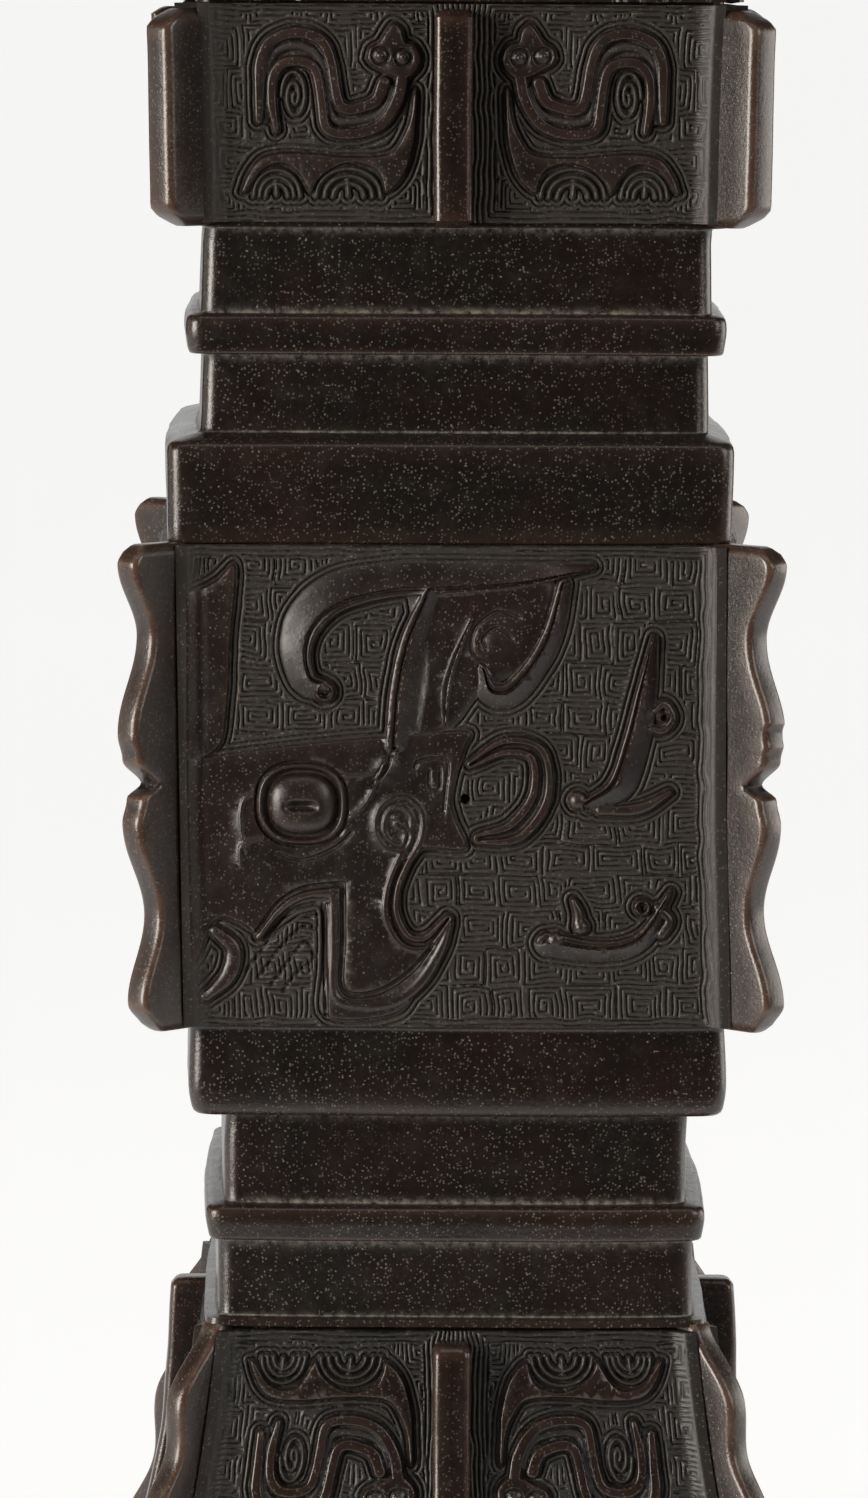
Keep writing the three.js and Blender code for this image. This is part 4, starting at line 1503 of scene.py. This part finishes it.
@dataclass
class MaskDesign:
    """Half of an animal mask, its nose at the left corner and its eye and horn on the face."""

    half_width: float = 28.8
    half_height: float = 24.3

    horn: Stroke = Stroke([(-126, 98, 9), (-147, 106, 12), (-155, 136, 15), (-146, 168, 18),
                           (-116, 194, 19), (-61, 207, 17), (-1, 209, 16), (69, 212, 12), (141, 221, 3)],
                          Form.BEVEL, 0.92, -1.0, 0.45)
    stem: Stroke = Stroke([(-19, 196, 9), (-37, 146, 14), (-47, 96, 15), (-52, 44, 14)], Form.BEVEL, 1.10,
                          -1.0, 0.30)
    hook: Stroke = Stroke([(113, 203, 7), (102, 156, 10), (84, 121, 11), (59, 94, 12), (37, 96, 10),
                           (30, 120, 4)], Form.BEVEL, 1.00, -1.0, 0.20)
    ear: Stroke = Stroke([(203, 150, 3), (195, 96, 10), (185, 46, 13), (169, 1, 13), (138, -18, 8)],
                         Form.BEVEL, 1.10, -1.0, 0.45)
    claw: Stroke = Stroke([(19, 24, 4), (54, 42, 9), (86, 34, 10), (89, -8, 12), (64, -42, 12),
                           (27, -50, 6)], Form.DOUBLE, 0.72)
    paw: Stroke = Stroke([(93, -156, 12), (149, -163, 10), (189, -151, 9), (219, -104, 3)], Form.BEVEL,
                         0.85, 1.0, 0.2)

    def strokes(self) -> list[Stroke]:
        """Every raised band of the mask, from the horn down to the paw."""
        rounded = Form.ROUND
        return [self.horn, self.stem, self.hook, self.ear, self.claw, self.paw,
                Stroke([(149, -22, 5), (189, -20, 6), (219, -4, 3)], rounded, 0.6),
                Stroke([(200, 60, 3), (212, 58, 4), (222, 70, 4), (214, 84, 4), (204, 78, 3)], rounded, 0.5),
                Stroke([(-54, -36, 4), (-44, -44, 5), (-48, -58, 6), (-64, -56, 7), (-72, -40, 7),
                        (-66, -20, 8), (-48, -12, 8), (-34, -26, 9), (-36, -50, 9), (-50, -74, 8),
                        (-61, -100, 8), (-63, -128, 9), (-50, -152, 9), (-28, -154, 8), (-6, -130, 4)],
                       Form.DOUBLE, 0.66),
                Stroke([(-121, -102, 5), (-122, -160, 5), (-122, -208, 5), (-94, -218, 6), (-61, -213, 6),
                        (-35, -193, 6), (-15, -162, 5), (-5, -136, 3)], rounded, 0.62),
                Stroke([(-198, -150, 3), (-172, -118, 4), (-148, -107, 4), (-116, -104, 4)], rounded, 0.6),
                Stroke([(-111, 12, 2.5), (-81, 15, 2.5), (-68, 28, 2)], rounded, 0.66),
                Stroke([(-105, -32, 2.5), (-85, -13, 2.5), (-68, 24, 2)], rounded, 0.66),
                Stroke([(-191, 0, 2), (-208, -13, 3), (-211, -39, 3), (-207, -66, 2)], rounded, 0.6),
                Stroke([(-213, -78, 2), (-211, -58, 3), (-191, -50, 3)], rounded, 0.7),
                Stroke([(-241, -144, 6), (-223, -162, 8), (-229, -189, 8), (-251, -210, 5)], rounded, 0.7),
                Stroke([(204, -119, 4), (216, -132, 5), (208, -146, 5)], rounded, 0.55),
                Stroke([(120, -112, 3), (125, -126, 5), (124, -140, 5)], rounded, 0.6),
                Stroke([(20, 168, 3), (4, 128, 6), (-4, 96, 7), (-6, 66, 4)], Form.BEVEL, 0.55, -1.0, 0.0)]

    def engravings(self) -> list[Stroke]:
        """Lines cut into the smooth parts of the mask."""
        wide, fine = 0.40, 0.26
        lines = [(wide, [(-198, -143, 2.5), (-176, -116, 3), (-150, -101, 3), (-111, -96, 3)]),
                 (wide, [(-191, -152, 2.5), (-168, -125, 3), (-146, -114, 3), (-127, -113, 2.5)]),
                 (wide, [(-111, -98, 3), (-112, -150, 3), (-113, -202, 3), (-81, -205, 3), (-46, -184, 3),
                         (-22, -156, 2)]),
                 (wide, [(-131, -112, 2.5), (-131, -170, 2.5), (-131, -228, 2.5)]),
                 (fine, [(-211, -184, 2), (-189, -158, 2), (-161, -133, 2), (-138, -128, 2)]),
                 (fine, [(-198, -190, 2), (-172, -156, 2), (-150, -138, 2), (-140, -142, 2)]),
                 (fine, [(-186, -198, 2), (-166, -172, 2), (-150, -154, 2), (-141, -170, 2)]),
                 (fine, [(-174, -204, 2), (-160, -186, 2), (-146, -176, 2)]),
                 (fine, [(-37, 20, 2), (-31, 28, 2), (-5, 28, 2), (-6, -2, 2), (-8, -24, 2)]),
                 (fine, [(-22, 18, 1.8), (-22, 0, 1.8), (-12, 0, 1.8), (-11, 20, 1.8)]),
                 (fine, [(-58, 40, 2), (-66, 18, 2), (-80, 2, 2)]),
                 (fine, [(-176, -66, 2), (-150, -72, 2), (-118, -60, 2), (-100, -44, 2)]),
                 (fine, [(68, 170, 2), (46, 176, 2), (24, 160, 2), (20, 136, 2), (34, 124, 2)]),
                 (fine, [(60, 150, 2), (46, 160, 2), (32, 150, 2), (34, 138, 2)])]
        return [Stroke(points, Form.GROOVE, depth) for depth, points in lines]

    def build(self, panel: ReliefPanel, stack: Stack) -> Relief:
        """Draw the mask over the samples of a panel.

        Args:
            panel: Panel that will carry the design.
            stack: Sizes of the vase.

        Returns:
            The worked design.
        """
        u, z, _ = panel.samples()
        middle = stack.body_z + stack.body_height / 2
        up = (z - middle) * self.half_height / (stack.body_height / 2)
        canvas = Canvas(u * self.half_width / stack.body_half, up, panel.step)
        canvas.plate(Plate([(-269, 28), (-235, 33), (-155, 44), (-63, 53), (15, 58), (14, 39), (5, 13),
                            (1, -11), (5, -30), (15, -61), (-22, -61), (-37, -65), (-57, -87), (-63, -121),
                            (-53, -150), (-29, -158), (-5, -130), (-9, -156), (-37, -199), (-63, -228),
                            (-131, -230), (-132, -180), (-131, -122), (-150, -118), (-174, -130),
                            (-196, -147), (-217, -136), (-239, -134), (-269, -171)], 0.42))
        canvas.plate(Plate([(-44, 196), (-20, 204), (40, 206), (100, 208), (96, 160), (70, 120), (30, 96),
                            (0, 60), (-38, 52), (-32, 120)], 0.30, 1.2))
        canvas.plate(Plate([(-268, 190), (-236, 206), (-216, 220), (-221, 146), (-224, 86), (-233, 40),
                            (-268, 40)], 0.55, 0.3))
        for stroke in self.strokes():
            canvas.stroke(stroke)
        for knob in (Knob(-127, 96, 11, 0.95, ring=True), Knob(127, -12, 10, 0.95),
                     Knob(101, -152, 9, 0.95), Knob(127, -139, 8, 0.85),
                     Knob(189, -119, 9, 0.7, ring=True), Knob(-56, -29, 5, 0.8),
                     Knob(213, 71, 6, 0.6, ring=True)):
            canvas.knob(knob)
        for line in self.engravings():
            canvas.stroke(line)
        canvas.knob(Knob(14, -11, 5.5, 1.1, hole=True))
        canvas.eye(-150, -16, 34, 31, 1.55)
        ground = ThunderGround(5, borders=(1.1, 1.3, 2.6)).heights(canvas, -24.1, 24.1, -28.4, 27.2)
        return Relief(canvas, ground, 31)


@dataclass
class DragonDesign:
    """A pair of kui dragons, tail to tail, on both sides of the middle flange."""

    half_width: float = 26.9
    height: float = 22.2

    outer_band: Run = ((199, 104, 4), (198, 139, 5.2), (197, 160, 5.6), (189, 180, 5.6), (175, 189, 5.6),
                       (160, 192, 5.6), (143, 188, 5.6), (133, 178, 5.4), (127, 160, 5.2), (124, 139, 5.2),
                       (120, 121, 5.4), (111, 115, 5.6), (96, 118, 5.6), (83, 125, 6), (76, 142, 6))
    inner_band: Run = ((182, 93, 3), (186, 118, 4.6), (186, 139, 4.8), (182, 153, 5), (172, 162, 5.2),
                       (157, 163, 5.2), (145, 157, 5), (140, 142, 4.8), (137, 118, 4.8), (134, 98, 5),
                       (123, 91, 5.2), (102, 91, 5.4), (84, 97, 5.6), (72, 108, 5.8), (62, 127, 6),
                       (58, 146, 6))
    middle_band: Run = ((192, 104, 3), (192, 139, 3.4), (189, 160, 3.6), (181, 173, 3.8), (163, 179, 3.8),
                        (145, 173, 3.8), (135, 158, 3.6), (131, 133, 3.4), (128, 110, 3.6), (120, 103, 3.8),
                        (104, 103, 3.8), (84, 108, 3.8), (74, 118, 3.6), (68, 136, 3))
    head: Run = ((93, 166), (90, 177), (81, 183), (73, 195), (66, 202), (58, 195), (55, 184), (45, 180),
                 (39, 167), (43, 154), (55, 145), (67, 148), (81, 155), (89, 160))
    wing: Run = ((218, 31), (211, 49), (199, 65), (181, 71), (151, 71), (120, 68), (90, 68), (70, 72),
                 (60, 84), (51, 105), (47, 133), (43, 133), (44, 102), (46, 80), (54, 52), (66, 36),
                 (75, 32), (78, 43), (84, 54), (98, 60), (111, 61), (129, 54), (142, 42), (148, 30),
                 (153, 37), (160, 49), (169, 58), (181, 60), (195, 54), (205, 42), (213, 31))

    def strokes(self) -> list[Stroke]:
        """Every raised band of one dragon and the fine lines inside its loop and humps."""
        lines = [Stroke(self.outer_band, Form.SMOOTH, 0.62), Stroke(self.inner_band, Form.SMOOTH, 0.62),
                 Stroke(self.middle_band, Form.SOFT, 0.26)]
        for centre, wide, tall in ((182, 25, 29), (111, 35, 31)):
            for share in (0.92, 0.68, 0.44):
                arc = [(centre - share * wide * math.cos(a), 27 + share * tall * math.sin(a), 1.7)
                       for a in np.linspace(0.0, math.pi, 9)]
                lines.append(Stroke(arc, Form.SOFT, 0.34))
            lines.append(Stroke([(centre, 28, 1.6), (centre + 1, 27 + 0.5 * tall, 1.6)], Form.SOFT, 0.34))
        spiral = [(164 + 13 * (1 - t) * math.cos(14 * t), 128 + 27 * (1 - 0.9 * t) * math.sin(14 * t), 1.6)
                  for t in np.linspace(0.0, 1.0, 30)]
        lines.append(Stroke(spiral, Form.SOFT, 0.34))
        return lines

    def build(self, panel: ReliefPanel, hanging: bool, seed: int) -> Relief:
        """Draw the dragons over the samples of a panel.

        Args:
            panel: Panel that will carry the design.
            hanging: Whether the design is turned upside down.
            seed: Seed of the ground.

        Returns:
            The worked design.
        """
        u, z, half = panel.samples()
        up = (z - panel.low) / (panel.high - panel.low) * self.height
        if hanging:
            up = self.height - up
        canvas = Canvas(np.abs(u) * self.half_width / half, up, panel.step)
        for stroke in self.strokes():
            canvas.stroke(stroke)
        canvas.plate(Plate(self.wing, 0.58, 0.3))
        canvas.plate(Plate(self.head, 0.6, 0.3))
        for x, y in ((79.5, 169), (57, 167.5)):
            canvas.knob(Knob(x, y, 6, 0.95))
            circle = [(x + 8.2 * math.cos(a), y + 8.2 * math.sin(a), 1.5) for a in np.linspace(0, 6.28, 9)]
            canvas.stroke(Stroke(circle, Form.GROOVE, 0.28))
        ground = ThunderGround(seed).heights(canvas, 0.3, self.height, 1.9, 26.4)
        return Relief(canvas, ground, seed + 3)


@dataclass
class BladePanels:
    """Rising blades on the upper trumpet, outside the photo and kept plain."""

    stack: Stack
    start: float = 22.3
    top_gap: float = 9.0
    foot_half: float = 19.0
    tip_drop: float = 16.0
    rib: float = 2.2
    height: float = 0.6
    step: float = 1.5
    thickness: float = 1.6
    lift: float = 0.12
    edge_gap: float = 1.3
    edge_bend: float = 0.9
    smooth_degrees: float = 40.0
    rib_columns: Sequence[float] = (-3.95, -3.7, -3.45, -3.2, -2.95, -2.7, -2.45, -1.9, -1.45, -1.25,
                                    -1.05, -0.85, -0.7, 0.0, 0.7, 0.85, 1.05, 1.25, 1.45)

    def build(self, material: bpy.types.Material) -> list[bpy.types.Object]:
        """Model the blades on all four sides.

        Args:
            material: Their finish.

        Returns:
            The four finished panels.
        """
        s = self.stack
        low, high = s.trumpet_z + self.start, s.mouth_z - self.top_gap
        z = np.linspace(low, high, round((high - low) / self.step))[:, None]
        half = s.trumpet_half_at(z)
        share = (z - low) / (s.mouth_z - self.tip_drop - low)
        edge = self.foot_half * np.clip(1.0 - share, 0.0, 1.0) ** 0.8
        near = edge + np.array(self.rib_columns)
        within = np.linspace(0.0, 1.0, 5)[:-1] * np.maximum(near[:, :1], 0.0)
        beyond = near[:, -1:] + np.linspace(0.0, 1.0, 8)[1:] * (half - self.edge_gap - near[:, -1:])
        right = np.maximum(np.concatenate([within, near, beyond], axis=1), 0.0)
        across = np.concatenate([-right[:, :0:-1], right], axis=1)
        gap = np.abs(np.abs(across) - edge)
        rib = smooth((self.rib / 2 - gap) / 0.6 + 0.5) * (share < 1.0)
        within_blade = (np.abs(across) < edge - 2) * (share < 0.96)
        inner = 0.5 * smooth((0.5 - np.abs(gap - 3.2)) / 0.5 + 0.3) * within_blade
        out = half + s.bow_at(across, half) + self.lift + self.height * np.maximum(rib, inner)
        front = grid_piece("blade_panel_0", np.stack([across, -out, z + 0.0 * across], axis=-1))
        weld(front, 0.01)
        modify(front, "SOLIDIFY", thickness=self.thickness * METRES, offset=-1.0)
        pieces = [front] + [turned_copy(front, f"blade_panel_{k}", k) for k in (1, 2, 3)]
        for piece in pieces:
            mark_relief(piece, self.edge_bend)
            finish_piece(piece, material, self.smooth_degrees)
        return pieces


# Studio


@dataclass(frozen=True)
class Lamp:
    """A soft rectangular light, with its place and size in metres."""

    name: str
    place: tuple
    size: tuple
    watts: float
    color: tuple

    def build(self, target: Vector) -> None:
        """Add the light, facing a point of the vase."""
        clear_selection()
        bpy.ops.object.light_add(type="AREA", location=self.place)
        lamp = bpy.context.object
        lamp.name = lamp.data.name = self.name
        lamp.data.shape = "RECTANGLE"
        lamp.data.size, lamp.data.size_y = self.size
        lamp.data.energy = self.watts
        lamp.data.color = self.color
        away = Vector(self.place) - target
        lamp.rotation_euler = away.to_track_quat("Z", "Y").to_euler()


@dataclass
class Studio:
    """Pale floor and backdrop, soft lights and the camera of the photo.

    Places and the distance are in metres, and the sizes of the sheet in millimetres.
    """

    distance: float = 0.730
    elevation: float = 6.4
    yaw: float = -0.9
    roll: float = 0.3
    aim: tuple = (-0.00167, 0.0, 0.122)
    lens: float = 168.7
    floor_color: tuple = (0.25, 0.25, 0.248, 1.0)
    glow_color: tuple = (1.0, 1.0, 0.995, 1.0)
    floor_glow: float = 0.815
    sky: float = 0.03
    light_target: tuple = (0.0, 0.0, 0.14)
    lamps: Sequence[Lamp] = (
        Lamp("key_left", (-0.81, -0.54, 0.25), (0.45, 0.55), 12.2, (1.0, 0.94, 0.86)),
        Lamp("side_left", (-0.96, 0.26, 0.12), (0.70, 0.90), 1.5, (1.0, 0.93, 0.85)),
        Lamp("side_right", (0.96, 0.26, 0.12), (0.70, 0.90), 7.5, (1.0, 0.94, 0.87)),
        Lamp("fill_right", (0.62, -0.50, 0.45), (0.30, 0.55), 2.4, (1.0, 0.94, 0.87)),
        Lamp("top", (0.0, -0.25, 0.95), (0.70, 0.50), 1.5, (1.0, 0.99, 0.97)))
    sheet_half_width: float = 620.0
    sheet_front: float = -160.0
    sheet_bend: float = 1400.0
    bend_radius: float = 600.0
    sheet_top: float = 3200.0

    def sweep(self) -> None:
        """Model the floor with its raised back, as one sheet in millimetres."""
        rows = [(y, 0.0) for y in np.linspace(self.sheet_front, self.sheet_bend, 8)]
        for a in np.linspace(0.0, math.pi / 2, 10)[1:]:
            rows.append((self.sheet_bend + self.bend_radius * math.sin(a),
                         self.bend_radius * (1 - math.cos(a))))
        rows.append((self.sheet_bend + self.bend_radius, self.sheet_top))
        columns = np.linspace(-self.sheet_half_width, self.sheet_half_width, 9)
        points = np.array([[(x, y, z) for x in columns] for y, z in rows])
        sheet = grid_piece("floor_sweep", points)
        material = bpy.data.materials.new("pale_floor")
        material.use_nodes = True
        inputs = material.node_tree.nodes["Principled BSDF"].inputs
        inputs["Base Color"].default_value = self.floor_color
        inputs["Roughness"].default_value = 0.9
        inputs["Emission Color"].default_value = self.glow_color
        inputs["Emission Strength"].default_value = self.floor_glow
        sheet.data.materials.append(material)
        bpy.ops.object.shade_smooth()

    def camera(self) -> None:
        """Set the camera up as it stood for the photo."""
        low, side = math.radians(self.elevation), math.radians(self.yaw)
        back = Vector((math.sin(side) * math.cos(low), -math.cos(side) * math.cos(low), math.sin(low)))
        clear_selection()
        bpy.ops.object.camera_add(location=Vector(self.aim) + back * self.distance)
        camera = bpy.context.object
        turn = back.to_track_quat("Z", "Y") @ Quaternion((0.0, 0.0, 1.0), math.radians(self.roll))
        camera.rotation_euler = turn.to_euler()
        camera.data.sensor_width = 36.0
        camera.data.lens = self.lens
        camera.data.clip_start = 0.05
        bpy.context.scene.camera = camera

    def build(self) -> None:
        """Set up floor, lights, surroundings and camera."""
        self.sweep()
        for lamp in self.lamps:
            lamp.build(Vector(self.light_target))
        world = bpy.context.scene.world or bpy.data.worlds.new("studio")
        bpy.context.scene.world = world
        world.use_nodes = True
        background = world.node_tree.nodes["Background"]
        background.inputs["Color"].default_value = (0.95, 0.96, 1.0, 1.0)
        background.inputs["Strength"].default_value = self.sky
        bpy.context.scene.view_settings.view_transform = "Standard"
        self.camera()


def main() -> None:
    """Build every part of the vase in order, then the studio."""
    logging.basicConfig(level=logging.INFO, format="%(message)s")
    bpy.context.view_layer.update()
    clear_selection()
    groups = Groups()
    plain, carved, foot, spine, flange = (name.value.build(groups) for name in FinishName)
    stack = Stack()
    VaseWall(stack).build(plain)
    FlangeSet(stack).build(flange, spine)
    mask_panel = ReliefPanel("mask_panel", stack.body_z + 0.25, stack.shoulder_z - 0.15,
                             lambda z: stack.body_half + 0.0 * z, stack.bow_at)
    mask_panel.build(MaskDesign().build(mask_panel, stack), carved)
    top_panel = ReliefPanel("trumpet_panel", stack.trumpet_z + 0.3, stack.trumpet_z + 22.1,
                            stack.trumpet_half_at, stack.bow_at, step=0.1, front_triangles=100000,
                            side_triangles=27000)
    top_panel.build(DragonDesign().build(top_panel, False, 41), carved)
    foot_panel = ReliefPanel("foot_panel", stack.foot_height - stack.foot_panel_drop,
                             stack.foot_height - stack.foot_panel_gap, stack.foot_half_at, stack.bow_at,
                             step=0.1, front_triangles=80000, side_triangles=22000)
    # The foot panel takes the darker copy of the carved finish, as painted shade.
    foot_panel.build(DragonDesign().build(foot_panel, True, 57), foot)
    BladePanels(stack).build(plain)
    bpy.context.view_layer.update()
    Studio().build()


if __name__ == "__main__":
    main()
